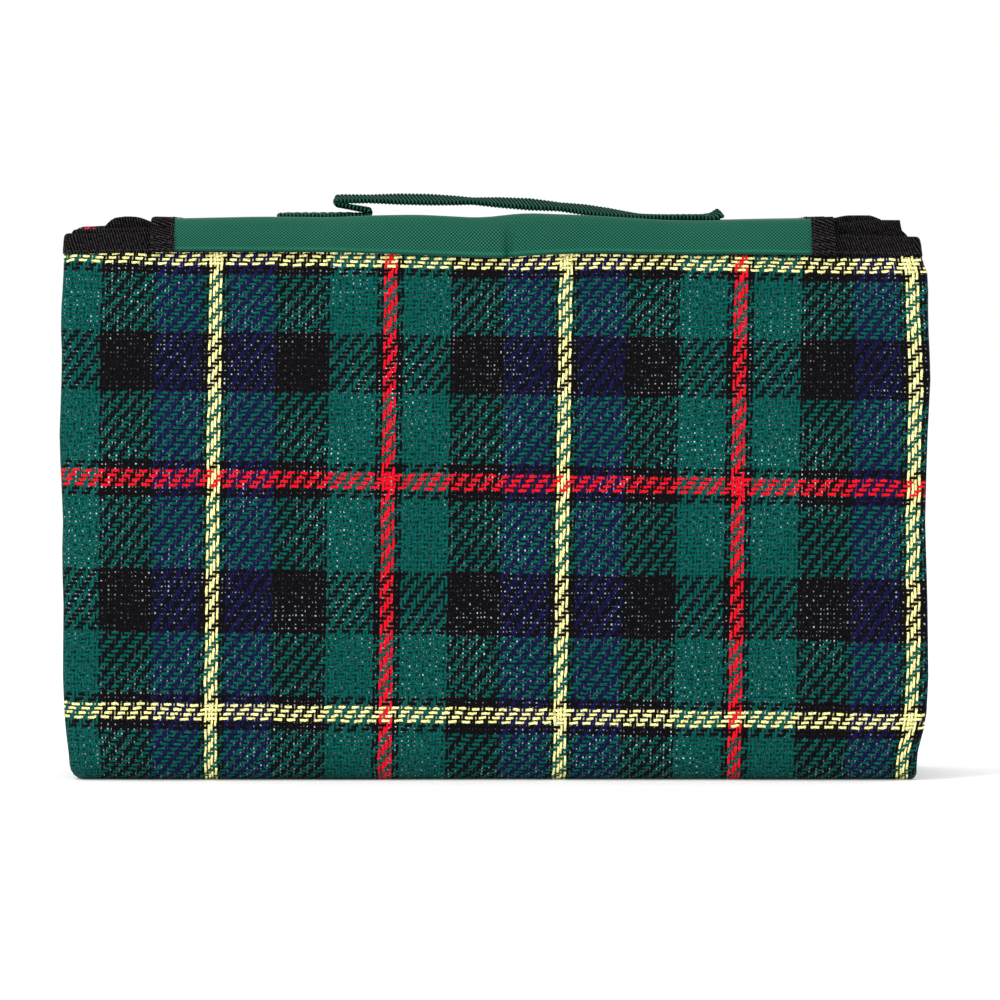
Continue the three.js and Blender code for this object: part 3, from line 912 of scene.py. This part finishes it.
rug_binding_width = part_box("binding_top")[1].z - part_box("binding_top")[0].z
binding_half = (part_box("binding_top")[1].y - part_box("binding_top")[0].y) / 2 - half_stack
rug_tape = hairpin(rug_binding_width, binding_half)
end_marks = across.stations(3 * MM, turn_steps=8)
side_marks = within(along.stations(10 * MM, turn_steps=12), rug_binding_width)
RUG_EDGES = {
    "binding_top": (lambda p, depth, n: rug_point(p, depth, n), end_marks),
    "binding_end": (lambda p, depth, n: rug_point(p, rug_length - depth, n), end_marks),
    "binding_side_inner": (lambda p, depth, n: rug_point(depth, p, n), side_marks),
    "binding_side_outer": (lambda p, depth, n: rug_point(rug_width - depth, p, n), side_marks),
}
for node, (place_edge, marks) in RUG_EDGES.items():
    tape = bind("tape_" + node.removeprefix("binding_"), place_edge, marks, rug_tape)
    dress(tape, "ribbed_tape", [node])
    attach(tape, "pack")
print("rug tape is", round(rug_binding_width / MM, 1), "mm wide when folded")

# %% [markdown]
# ## The flap's route
# The flap is one piece of doubled cloth. It is sewn to the front, bends over the top, crosses the
# folds and bends down the far side. Its route runs in the plane square to the pack's width.

# %% Lay the flap over the pack
SEAM_TURN = 2.6 * MM  # the radius of the flap's bends
COVER_CORNER = 25 * MM
flap_front_y = middle("flap_base_binding_left", 1)
flap_top_z = middle("flap_spine_binding_left", 2)
flap_back_y = middle("flap_cover_binding", 1)
seam_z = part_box("flap_base_outer")[0].z
cover_low, cover_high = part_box("flap_cover_binding")
flap_half_width = cover_high.x - TAPE_WALL
cover_end_z = cover_low.z + TAPE_WALL

over = (
    Route((flap_front_y, seam_z), 90)
    .run(flap_top_z - SEAM_TURN - seam_z)
    .turn(SEAM_TURN, -90)
    .run(flap_back_y - flap_front_y - 2 * SEAM_TURN)
    .turn(SEAM_TURN, -90)
    .run(flap_top_z - SEAM_TURN - cover_end_z)
)
front_bend = over.legs[1][0]
spine_start = over.legs[2][0]
spine_end = over.legs[3][0]
spine_middle = (spine_start + spine_end) / 2
print(f"the flap is {2 * flap_half_width / MM:.0f} mm wide and {over.length / MM:.0f} mm long")

# %% [markdown]
# ## The flap's shape
# The padding makes the front swell, and the sewn edge is hemmed. A crease runs up from the seam
# and dies out before the bend. The ridge over the top is uneven, because the folds below it are.

# %% Shape the flap
# The flap's top ridge and its sewn edge, as heights across the flap, both in millimetres.
RIDGE = [
    (-134, 0.2), (-125, -0.5), (-92, 0.3), (-64, -0.1), (-46, 0.8), (-29, 1.0), (-5, -0.3),
    (12, 1.7), (37, 1.0), (70, -0.2), (120, -0.5), (134, 0.4),
]
SEAM = [
    (-134, 1.6), (-125, 2.0), (-64, 1.4), (-25, -0.2), (2, -1.3), (15, -0.2), (40, 1.0), (90, 0.9),
    (120, 0.2), (134, 0.2),
]
SWELL = 1.4 * MM  # how far the padding stands out at its fullest
HEM_ROLL = 0.42 * MM
HEM_DIP = 0.34 * MM
CREASE_DEPTH = 2.7 * MM
CREASE_FADE = 5 * MM  # how far below the bend the crease dies out


def creased(x, s, front):
    """The crease climbs to the right and widens as it goes."""
    middle_x = (5.6 + 1.6 * front) * MM
    width = (1.1 + 1.8 * front) * MM
    return CREASE_DEPTH * hump(x, middle_x, width) * np.clip((front_bend - s) / CREASE_FADE, 0, 1)


def puff(x, s):
    """How far the padded flap stands out from its flat shape."""
    front = np.clip(s / front_bend, 0, 1)
    on_front = np.clip(1 - (s - front_bend) / (6 * MM), 0, 1)
    rolled = HEM_ROLL * hump(s, 2.2 * MM, 0.8 * MM) - HEM_DIP * hump(s, 4.0 * MM, 1.0 * MM)
    padded = (SWELL * np.sin(math.pi * front**0.7) + rolled) * on_front
    on_top = np.clip((s - front_bend + 3 * MM) / (6 * MM), 0, 1)
    on_top = on_top * np.clip((spine_end - s) / (10 * MM), 0, 1)
    ridge = soft_list(RIDGE, x, 4) * np.clip(1 - (s - front_bend) / (60 * MM), 0.3, 1)
    on_cover = np.clip((s - spine_end - 8 * MM) / (40 * MM), 0, 1)
    hang = 0.3 + 0.5 * wave(0.5, (x, 0.15), (s, 0.3)) + 0.3 * wave(2.5, (x, 0.07), (s, -0.12))
    return padded - creased(x, s, front) + ridge * on_top + hang * on_cover * MM


def flap_point(x, s, n):
    foot, normal = over.read(s)
    out = n + puff(x, s)
    y = foot[..., 0] + out * normal[..., 0]
    z = foot[..., 1] + out * normal[..., 1]
    z = z + soft_list(SEAM, x, 4) * np.clip(1 - s / front_bend, 0, 1)
    return settle(np.stack([x + 0 * y, y, z], -1))


def flap_half_at(s, inset):
    """The flap's half width at a length along it, round the cover's two corners."""
    radius = COVER_CORNER - inset
    from_end = np.clip(over.length - inset - s, 0, radius)
    return flap_half_width - inset - radius + np.sqrt(radius**2 - (radius - from_end) ** 2)


print(f"the crease takes in {creased(5.6 * MM, 0.0, 0.0) / MM:.1f} mm at the seam")

# %% [markdown]
# The flap bends at two joints, but a piece may bend at only one. It is made in two halves, which
# meet in the middle of the top.

# %% Make the flap's halves
FOOT_PLAY = 0.3 * MM  # the cloth starts this far up from the foot of its seam
HALVES = {"front": (FOOT_PLAY, spine_middle), "far": (spine_middle, over.length)}


def bend_flap(piece):
    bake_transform(piece)


def flap_rows(half):
    """Rows for one half, closer together round the cover's corners."""
    marks = over.stations(4 * MM, turn_steps=8)
    low, high = HALVES[half]
    last = over.length - EDGE_PLAY
    high = min(high, last)
    fine = last - COVER_CORNER * (1 - np.cos(np.linspace(0, math.pi / 2, 12)))
    marks = np.concatenate([marks[marks < last - COVER_CORNER - MM], fine, [low, high]])
    return np.unique(np.round(marks[(marks >= low) & (marks <= high)], 7))


def flap_columns():
    """Shares of the half width, closer together near the crease."""
    near_crease = np.linspace(-8 * MM, 20 * MM, 36) / flap_half_width
    return np.unique(np.concatenate([np.linspace(-1, 1, 111), near_crease]))


def flap_ply(half, ply, slot, low, high, nodes):
    def place(across_share, s, n):
        return flap_point(across_share * flap_half_at(s, EDGE_PLAY), s, n)

    def uv(across_share, s):
        return across_share * flap_half_at(s, EDGE_PLAY), s

    rows = flap_rows(half)
    piece = slab(f"flap_{half}_{ply}", place, flap_columns(), rows, low, high, uv)
    dress(piece, slot, nodes)
    bend_flap(piece)


OUTER_THICKNESS = 0.6 * MM
LINING_THICKNESS = 0.4 * MM
flap_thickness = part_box("flap_spine_binding_left")[1].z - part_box("flap_spine_binding_left")[0].z
outer_top = flap_thickness / 2 - TAPE_WALL - PLY_GAP
outer_low = outer_top - OUTER_THICKNESS
lining_top = outer_low - PLY_GAP
for half, outer_nodes, lining_nodes in (
    ("front", ["flap_base_outer", "flap_spine_outer"], ["flap_base_lining", "flap_spine_lining"]),
    ("far", ["flap_cover_outer"], ["flap_cover_lining"]),
):
    flap_ply(half, "cloth", "flap_cloth", outer_low, outer_top, outer_nodes)
    flap_ply(half, "lining", "flap_lining", lining_top - LINING_THICKNESS, lining_top, lining_nodes)

# %% [markdown]
# The flap's own binding runs down one side of the cover, round both corners and up the other side.
# Its path lies in the flap's flat shape, and flap_point carries it over the folds.

# %% Bind the flap
flap_binding_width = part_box("flap_base_binding_left")[1].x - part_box("flap_base_binding_left")[0].x
flap_tape = hairpin(flap_binding_width, flap_thickness / 2)
flap_edge = (
    Route((-flap_half_width, 0), 90)
    .run(over.length - COVER_CORNER)
    .turn(COVER_CORNER, -90)
    .run(2 * (flap_half_width - COVER_CORNER))
    .turn(COVER_CORNER, -90)
    .run(over.length - COVER_CORNER)
)


def near_flap_edge(p, depth, n):
    foot, normal = flap_edge.read(p)
    x = foot[..., 0] - depth * normal[..., 0]
    s = foot[..., 1] - depth * normal[..., 1]
    return flap_point(x, s, n)


def edge_marks(low, high):
    """Stations along the flap's edge. They are close where the flap bends over the pack."""
    bends = [front_bend, spine_end]
    bends += [flap_edge.length - bend - SEAM_TURN * 1.6 for bend in (spine_end, front_bend)]
    close = [np.linspace(at - 2 * MM, at + 6.5 * MM, 14) for at in bends]
    marks = np.concatenate([flap_edge.stations(5 * MM, turn_steps=14), *close, [low, high]])
    return np.unique(np.round(marks[(marks >= low) & (marks <= high)], 7))


seam_start = 0.2 * MM
for name, half, low, high, nodes in (
    ("left", "front", seam_start, spine_middle, ["flap_base_binding_left", "flap_spine_binding_left"]),
    ("far", "far", spine_middle, flap_edge.length - spine_middle, ["flap_cover_binding"]),
    (
        "right", "front", flap_edge.length - spine_middle, flap_edge.length - seam_start,
        ["flap_base_binding_right", "flap_spine_binding_right"],
    ),
):
    tape = bind(f"flap_tape_{name}", near_flap_edge, edge_marks(low, high), flap_tape)
    dress(tape, "ribbed_tape", nodes)
    bend_flap(tape)
print(f"the flap's binding is {(flap_edge.length - 2 * seam_start) / MM:.0f} mm long")

# %% [markdown]
# ## The handle
# The webbing is sewn down at both ends and lies slumped between them. Its left end is folded back
# on itself twice. The ribs of webbing are coarse enough to show on its outline, so they are real
# relief, slanted a little by the twist. It also rolls a little as it goes.

# %% Lay the handle's route
end_low, end_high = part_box("handle_end_left")
tab_low, tab_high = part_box("handle_end_right")
strap_width = end_high.y - end_low.y
strap_thickness = end_high.z - end_low.z
strap_y = (end_low.y + end_high.y) / 2
sewn_z = (end_low.z + end_high.z) / 2
FOLD_X = -50.5 * MM  # where the left end first turns back
FOLD_RADIUS = 1.15 * MM
FOLD_TURN = 169.5  # turns and slopes are in degrees
FOLD_LEG = 11.6 * MM
CREST_RUN = 9 * MM
CREST_RADIUS = 1000 * MM
CREST_SLOPE = 3.9
SLOPE_RADIUS = 400 * MM
SLOPE = 6.2
SLOPE_RUN = 25 * MM
TIP_REACH = 5.6 * MM  # how much of the right end curls up
TIP_RADIUS = 9 * MM
TIP_TURN = 38

handle = (
    Route((end_low.x, sewn_z), 0)
    .run(FOLD_X - end_low.x)
    .turn(FOLD_RADIUS, FOLD_TURN)
    .run(FOLD_LEG)
    .turn(FOLD_RADIUS, -FOLD_TURN)
    .run(CREST_RUN)
    .turn(CREST_RADIUS, -CREST_SLOPE)
    .turn(SLOPE_RADIUS, CREST_SLOPE - SLOPE)
    .run(SLOPE_RUN)
)
fall = (handle.foot[1] - sewn_z) / (1 - math.cos(math.radians(SLOPE)))
handle.turn(fall, SLOPE)
handle.run(tab_high.x - handle.foot[0] - TIP_REACH).turn(TIP_RADIUS, TIP_TURN)
crest_start = handle.legs[5][0]
grip_middle = crest_start + 45 * MM
print(f"the webbing is {handle.length / MM:.0f} mm long, and ends at x = {handle.foot[0] / MM:.0f} mm")

# %% [markdown]
# A piece may bend at only one joint, so the webbing is made in two halves, which meet in the
# middle of the grip. Its ribs need rows much closer together than a rib is wide.

# %% Make the handle
SELVEDGE = 1.1 * MM  # how far in the edge is rounded
RIB_RELIEF = 0.62 * MM
RIB_FOOT = 0.4 * MM  # how far a groove lies below the flat webbing
ROWS_TO_A_RIB = 7
ROLL = [  # length along the webbing in millimetres, and its roll in degrees
    (0, 0), (36, 0), (53, 3), (66, 2), (78, 4.5), (90, 4.8), (100, 3), (107, 0.5), (117, 4),
    (130, 6), (142, 3), (152, 5.5), (162, 4.5), (174, 0.8), (185, 0), (198, 0), (205, 6), (300, 6),
]


def strap_point(s, q, n):
    foot, normal = handle.read(s)
    roll = np.radians(np.interp(s / MM, *zip(*ROLL)))
    out = n * np.cos(roll) + q * np.sin(roll)
    x = foot[..., 0] + out * normal[..., 0]
    y = strap_y + q * np.cos(roll) - n * np.sin(roll)
    z = foot[..., 1] + out * normal[..., 1]
    return settle(np.stack([x, y, z], -1))


def strap_side(s, q):
    """Half the webbing's thickness at a point, with rounded selvedges and slanted ribs."""
    edge = strap_width / 2 - np.abs(q)
    rounding = np.sqrt(np.clip(1 - (1 - np.clip(edge / SELVEDGE, 0, 1)) ** 2, 0.03, 1))
    rib = np.abs(np.sin(math.pi * (s + RIB_SLANT * q) / RIB_PITCH))
    return (strap_thickness / 2 - RIB_FOOT + RIB_RELIEF * rib**0.8) * rounding


def make_strap(name, low, high, nodes):
    rows = np.arange(low, high, RIB_PITCH / ROWS_TO_A_RIB)
    rows = np.append(rows[rows < high - 0.1 * MM], high)
    half = strap_width / 2
    columns = half * np.sin(np.linspace(-math.pi / 2, math.pi / 2, 45))
    strap = slab(name, strap_point, rows, columns, lambda s, q: -strap_side(s, q), strap_side)
    return dress(strap, "handle_webbing", nodes)


strap_left = make_strap(
    "handle_left", 0.0, grip_middle, ["handle_end_left", "handle_fold_left", "handle_grip"]
)
strap_right = make_strap(
    "handle_right", grip_middle, handle.length, ["handle_leg_right", "handle_end_right"]
)

# %% [markdown]
# Each half of the webbing stays where it was laid.


def lift_handle(piece):
    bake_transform(piece)


lift_handle(strap_left)
lift_handle(strap_right)
print("the handle's halves:", len(strap_left.data.polygons), len(strap_right.data.polygons), "faces")

# %% [markdown]
# ## The closure
# A loop tape is sewn to the pack's far side and a hook tape inside the cover. They only show when
# the cover is open, but then they are close to the eye, so the hooks are real.

# %% Make the closure tapes
HOOK_TAPE_BACK = 0.35 * MM  # the hook tape's backing, under its hooks
loop_low, loop_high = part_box("loop_tape")
hook_low, hook_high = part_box("hook_tape")


def closure_tape(name, node, low, high, thin):
    columns = np.linspace(low.x, high.x, 60)
    rows = np.linspace(low.z, high.z, 12)

    def place(x, z, y):
        return settle(np.stack([x, y, z], -1))

    tape = slab(name, place, columns, rows, low.y, low.y + thin)
    return dress(tape, node.replace("_tape", "_pile"), [node])


loop_tape = closure_tape("closure_loop", "loop_tape", loop_low, loop_high, loop_high.y - loop_low.y)
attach(loop_tape, "pack")
hook_back = hook_high.y - HOOK_TAPE_BACK
hook_foot = Vector((hook_low.x, hook_back, hook_low.z))
hook_tape = closure_tape("closure_hook", "hook_tape", hook_foot, hook_high, HOOK_TAPE_BACK)
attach(hook_tape, "flap_cover")
print(f"the loop tape is {(loop_high.x - loop_low.x) / MM:.0f} mm long")

# %% [markdown]
# ## A short way to write node trees
# Stitches and hooks are the same small thing again and again, which is a job for Geometry Nodes.
# Two helpers keep their trees short. One opens a tree with named inputs. The other adds a node and
# fills its sockets, with values or with other nodes' outputs, in the same call.


# %% Helpers for Geometry Nodes
def new_tree(name, inputs, output):
    tree = bpy.data.node_groups.new(name, "GeometryNodeTree")
    for label, kind in inputs.items():
        tree.interface.new_socket(label, in_out="INPUT", socket_type="NodeSocket" + kind)
    tree.interface.new_socket(output, in_out="OUTPUT", socket_type="NodeSocketGeometry")
    return tree


def add_node(tree, kind, fills, **settings):
    node = tree.nodes.new(kind)
    for key, value in settings.items():
        setattr(node, key, value)
    for label, value in fills.items():
        if isinstance(value, bpy.types.NodeSocket):
            tree.links.new(value, node.inputs[label])
        else:
            node.inputs[label].default_value = value
    return node.outputs


def paint_and_end(tree, geometry, material, output):
    """The last two nodes of a tree: a finish for what it made, and its output."""
    fills = {"Geometry": geometry, "Material": material}
    painted = add_node(tree, "GeometryNodeSetMaterial", fills)
    add_node(tree, "NodeGroupOutput", {output: painted["Geometry"]})


def apply_tree(path_object, tree, values, name):
    """Run a Geometry Nodes tree on an object, and keep its result as a plain mesh."""
    modifier = path_object.modifiers.new(tree.name, "NODES")
    modifier.node_group = tree
    for item in tree.interface.items_tree:
        if item.in_out == "INPUT" and item.name in values:
            modifier[item.identifier] = values[item.name]
    evaluated = path_object.evaluated_get(bpy.context.evaluated_depsgraph_get())
    mesh = bpy.data.meshes.new_from_object(evaluated)
    mesh.name = name
    path_object.modifiers.remove(modifier)
    bpy.data.objects.remove(path_object)
    return link_mesh(name, mesh)


# %% [markdown]
# ## Stitches
# The tree takes paths that lie on the cloth, steps along them, and sets down a stitch at each step,
# turned along the path and up from the cloth. Its sizes are named inputs, so one tree serves every
# seam.


# %% A tree that lays stitches along paths
def stitch_tree():
    inputs = {
        "Paths": "Geometry", "Stitch length": "Float", "Gap": "Float", "Thread radius": "Float",
        "Material": "Material",
    }
    tree = new_tree("lay_stitches", inputs, "Stitches")
    given = add_node(tree, "NodeGroupInput", {})
    fills = {0: given["Stitch length"], 1: given["Gap"]}
    pitch = add_node(tree, "ShaderNodeMath", fills, operation="ADD")
    fills = {0: given["Stitch length"], 1: 0.5}
    half = add_node(tree, "ShaderNodeMath", fills, operation="MULTIPLY")
    curves = add_node(tree, "GeometryNodeMeshToCurve", {"Mesh": given["Paths"]})
    fills = {"Curve": curves["Curve"], "Length": pitch[0]}
    stops = add_node(tree, "GeometryNodeResampleCurve", fills, mode="LENGTH")
    bead = add_node(tree, "GeometryNodeMeshUVSphere", {"Segments": 7, "Rings": 5, "Radius": 1.0})
    fills = {0: half[0], 1: given["Thread radius"], 2: given["Thread radius"]}
    size = add_node(tree, "ShaderNodeCombineXYZ", fills)
    up = add_node(tree, "GeometryNodeInputNamedAttribute", {"Name": "up"}, data_type="FLOAT_VECTOR")
    tangent = add_node(tree, "GeometryNodeInputTangent", {})
    align = "FunctionNodeAlignRotationToVector"
    turn = add_node(tree, align, {"Vector": tangent[0]}, axis="X")
    fills = {"Rotation": turn[0], "Vector": up["Attribute"]}
    stand = add_node(tree, align, fills, axis="Z", pivot_axis="X")
    fills = {
        "Points": stops["Curve"], "Instance": bead["Mesh"], "Rotation": stand[0], "Scale": size[0],
    }
    beads = add_node(tree, "GeometryNodeInstanceOnPoints", fills)
    real = add_node(tree, "GeometryNodeRealizeInstances", {"Geometry": beads["Instances"]})
    smooth = add_node(tree, "GeometryNodeSetShadeSmooth", {"Geometry": real["Geometry"]})
    paint_and_end(tree, smooth["Geometry"], given["Material"], "Stitches")
    return tree


lay_stitches = stitch_tree()


def sewn_path(place, p, q, n):
    """Points along a seam, and the way up from the cloth at each of them."""
    p, q = np.broadcast_arrays(np.asarray(p, float), np.asarray(q, float))
    points = place(p, q, n + 0 * p)
    up = place(p, q, n + MM + 0 * p) - points
    if n < 0:
        up = -up
    return points, up / np.linalg.norm(up, axis=-1, keepdims=True)


BINDING_STITCH = {"Stitch length": 2.5 * MM, "Gap": 0.9 * MM, "Thread radius": 0.17 * MM}
FOOT_STITCH = {"Stitch length": 1.5 * MM, "Gap": 0.5 * MM, "Thread radius": 0.26 * MM}
HANDLE_STITCH = {"Stitch length": 2.4 * MM, "Gap": 0.8 * MM, "Thread radius": 0.24 * MM}


def stitches(name, paths, thread, sizes):
    mesh = bpy.data.meshes.new(name + "_paths")
    points = np.concatenate([path for path, _ in paths])
    edges, start = [], 0
    for path, _ in paths:
        edges += [(start + k, start + k + 1) for k in range(len(path) - 1)]
        start += len(path)
    mesh.from_pydata(points.tolist(), edges, [])
    ups = np.concatenate([up for _, up in paths])
    mesh.attributes.new("up", "FLOAT_VECTOR", "POINT").data.foreach_set("vector", ups.ravel())
    values = {**sizes, "Material": finish[thread]}
    sewn = apply_tree(link_mesh(name + "_paths", mesh), lay_stitches, values, name)
    print(name, len(sewn.data.polygons), "faces")
    return sewn


# %% [markdown]
# The tape's line of stitches lies just inside its lip, on both sides of the sheet. At the foot of
# the flap several short rows go through everything.

# %% Sew the bindings
THREAD_RISE = 0.02 * MM  # how far a thread's middle lies above the tape
lip = rug_binding_width - TAPE_WALL - 1.2 * MM
rug_seams = []
for side in (-1, 1):
    lift = side * (binding_half + THREAD_RISE)
    for place_edge, marks in RUG_EDGES.values():
        rug_seams.append(sewn_path(place_edge, within(marks, 1.5 * MM), lip, lift))
rug_stitches = stitches("rug_stitches", rug_seams, "dark_thread", BINDING_STITCH)
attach(rug_stitches, "pack")

flap_lip = flap_binding_width - TAPE_WALL - 1.1 * MM
flap_rise = flap_thickness / 2 + THREAD_RISE


def flap_binding_seams(low, high):
    marks = within(edge_marks(low, high), 0.8 * MM)
    return [sewn_path(near_flap_edge, marks, flap_lip, lift) for lift in (flap_rise, -flap_rise)]


FOOT_ROWS = [1.6 * MM, 4.6 * MM, 7.2 * MM]
foot_share = 9 * MM / flap_half_width
foot_seams = []
for at in FOOT_ROWS:
    for low, high in ((-1.0, foot_share - 1.0), (1.0 - foot_share, 1.0)):
        x = np.linspace(low, high, 12) * (flap_half_width - 0.4 * MM)
        foot_seams.append(sewn_path(flap_point, x, at, flap_rise))
front_seams = flap_binding_seams(seam_start, spine_middle)
front_seams += flap_binding_seams(flap_edge.length - spine_middle, flap_edge.length - seam_start)
far_seams = flap_binding_seams(spine_middle, flap_edge.length - spine_middle)
for name, half, seams, sizes in (
    ("front", "front", front_seams, BINDING_STITCH),
    ("foot", "front", foot_seams, FOOT_STITCH),
    ("far", "far", far_seams, BINDING_STITCH),
):
    bend_flap(stitches(f"flap_stitches_{name}", seams, "dark_thread", sizes))

# %% [markdown]
# Each sewn end of the handle has a box with a cross in it, which spreads the pull over the cloth.


# %% Sew the handle's ends
BOX_INSET = 2.6 * MM
TAB_MARGIN = 6 * MM


def box_and_cross(low, high):
    """A stitched box with a cross in it, on a sewn end between two lengths of the handle."""
    half = strap_width / 2 - BOX_INSET
    corners = [(low, -half), (high, -half), (high, half), (low, half), (low, -half), (high, half)]
    lines = list(zip(corners[:-1], corners[1:])) + [((low, half), (high, -half))]
    share = np.linspace(0, 1, 14)
    seams = []
    for (from_s, from_q), (to_s, to_q) in lines:
        s = from_s + (to_s - from_s) * share
        q = from_q + (to_q - from_q) * share
        seams.append(sewn_path(strap_point, s, q, strap_thickness / 2 + 0.12 * MM))
    return seams


tab_start = handle.length - (tab_high.x - tab_low.x)
handle_seams = box_and_cross(4 * MM, end_high.x - end_low.x - TAB_MARGIN)
handle_seams += box_and_cross(tab_start + TAB_MARGIN, handle.length - TAB_MARGIN)
handle_stitches = stitches(
    "handle_stitches", handle_seams, "green_thread", HANDLE_STITCH
)
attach(handle_stitches, "flap_spine")


# %% [markdown]
# ## Hooks
# The hook tape is a bed of small bent bristles. Each hook is a bent tube of a few faces, set on a
# grid by Geometry Nodes.

# %% Grow the hooks
def hook_tree():
    inputs = {
        "Bed": "Geometry", "Hook height": "Float", "Bristle radius": "Float", "Seed": "Int",
        "Material": "Material",
    }
    tree = new_tree("grow_hooks", inputs, "Hooks")
    given = add_node(tree, "NodeGroupInput", {})
    fills = {
        "Resolution": 6, "Radius": given["Hook height"],
        "Start Angle": 0.0, "Sweep Angle": math.radians(235),
    }
    arc = add_node(tree, "GeometryNodeCurveArc", fills)
    fills = {"Resolution": 5, "Radius": given["Bristle radius"]}
    ring = add_node(tree, "GeometryNodeCurvePrimitiveCircle", fills)
    fills = {"Curve": arc["Curve"], "Profile Curve": ring["Curve"], "Fill Caps": True}
    tube = add_node(tree, "GeometryNodeCurveToMesh", fills)
    fills = {2: -0.5, 3: 0.5, "Seed": given["Seed"]}
    spin = add_node(tree, "FunctionNodeRandomValue", fills, data_type="FLOAT")
    euler = add_node(tree, "ShaderNodeCombineXYZ", {0: math.radians(90), 1: spin[1]})
    fills = {"Points": given["Bed"], "Instance": tube["Mesh"], "Rotation": euler[0]}
    grown = add_node(tree, "GeometryNodeInstanceOnPoints", fills)
    real = add_node(tree, "GeometryNodeRealizeInstances", {"Geometry": grown["Instances"]})
    paint_and_end(tree, real["Geometry"], given["Material"], "Hooks")
    return tree


HOOK_PITCH = 1.7 * MM
HOOK_RISE = 0.12 * MM  # the middle of a hook's arc stands this far off its tape
hook_x, hook_z = np.meshgrid(
    np.arange(hook_low.x + 1.5 * MM, hook_high.x - MM, HOOK_PITCH),
    np.arange(hook_low.z + 1.5 * MM, hook_high.z - MM, HOOK_PITCH),
)
hook_y = 0 * hook_x + hook_back - HOOK_RISE
hook_feet = settle(np.stack([hook_x, hook_y, hook_z], -1)).reshape(-1, 3)
bed = bpy.data.meshes.new("hook_bed")
bed.from_pydata(hook_feet.tolist(), [], [])
hook_values = {
    "Hook height": 0.2 * MM, "Bristle radius": 0.07 * MM, "Seed": 7, "Material": finish["hook_pile"],
}
hooks = apply_tree(link_mesh("hook_bed", bed), hook_tree(), hook_values, "closure_hooks")
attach(hooks, "flap_cover")
print("hooks:", len(hook_feet), "faces:", len(hooks.data.polygons))

# %% [markdown]
# ## Light and camera
# The blanket is seen square-on from the front through a long lens, in flat, bright light. A large
# soft light from the upper left keeps the yarns' relief readable, and weaker ones fill the rest.

# %% Light the scene and place the camera
world = bpy.data.worlds.new("pale_room")
world.use_nodes = True
world.node_tree.nodes["Background"].inputs["Color"].default_value = (1.0, 1.0, 1.0, 1.0)
world.node_tree.nodes["Background"].inputs["Strength"].default_value = 1.0
bpy.context.scene.world = world
bpy.context.scene.view_settings.view_transform = "Standard"

centre = Vector((0, 0, top_z / 2))


def soft_light(name, place, size, power):
    light = bpy.data.lights.new(name, "AREA")
    light.shape = "SQUARE"
    light.size = size
    light.energy = power
    holder = bpy.data.objects.new(name, light)
    holder.location = place
    holder.rotation_euler = (centre - Vector(place)).to_track_quat("-Z", "Y").to_euler()
    bpy.context.scene.collection.objects.link(holder)
    return holder


soft_light("key_light", (-1.1, -1.3, 1.5), 0.6, 24)
soft_light("fill_light", (1.4, -1.6, 0.7), 1.2, 5)
soft_light("top_light", (0.1, 0.4, 1.9), 1.2, 6)

LENS = 250.0
SENSOR = 36.0
VIEW_WIDTH = 393 * MM
VIEW_CENTRE = (2.6 * MM, 110.8 * MM)
EYE_HEIGHT = 205 * MM
camera_data = bpy.data.cameras.new("camera")
camera_data.lens = LENS
camera_data.sensor_width = SENSOR
camera_data.clip_end = 50
camera = bpy.data.objects.new("camera", camera_data)
distance = VIEW_WIDTH * LENS / SENSOR
camera.location = (VIEW_CENTRE[0], face_low.y - distance, EYE_HEIGHT)
camera.rotation_euler = (math.pi / 2 - math.atan((EYE_HEIGHT - VIEW_CENTRE[1]) / distance), 0, 0)
bpy.context.scene.collection.objects.link(camera)
bpy.context.scene.camera = camera
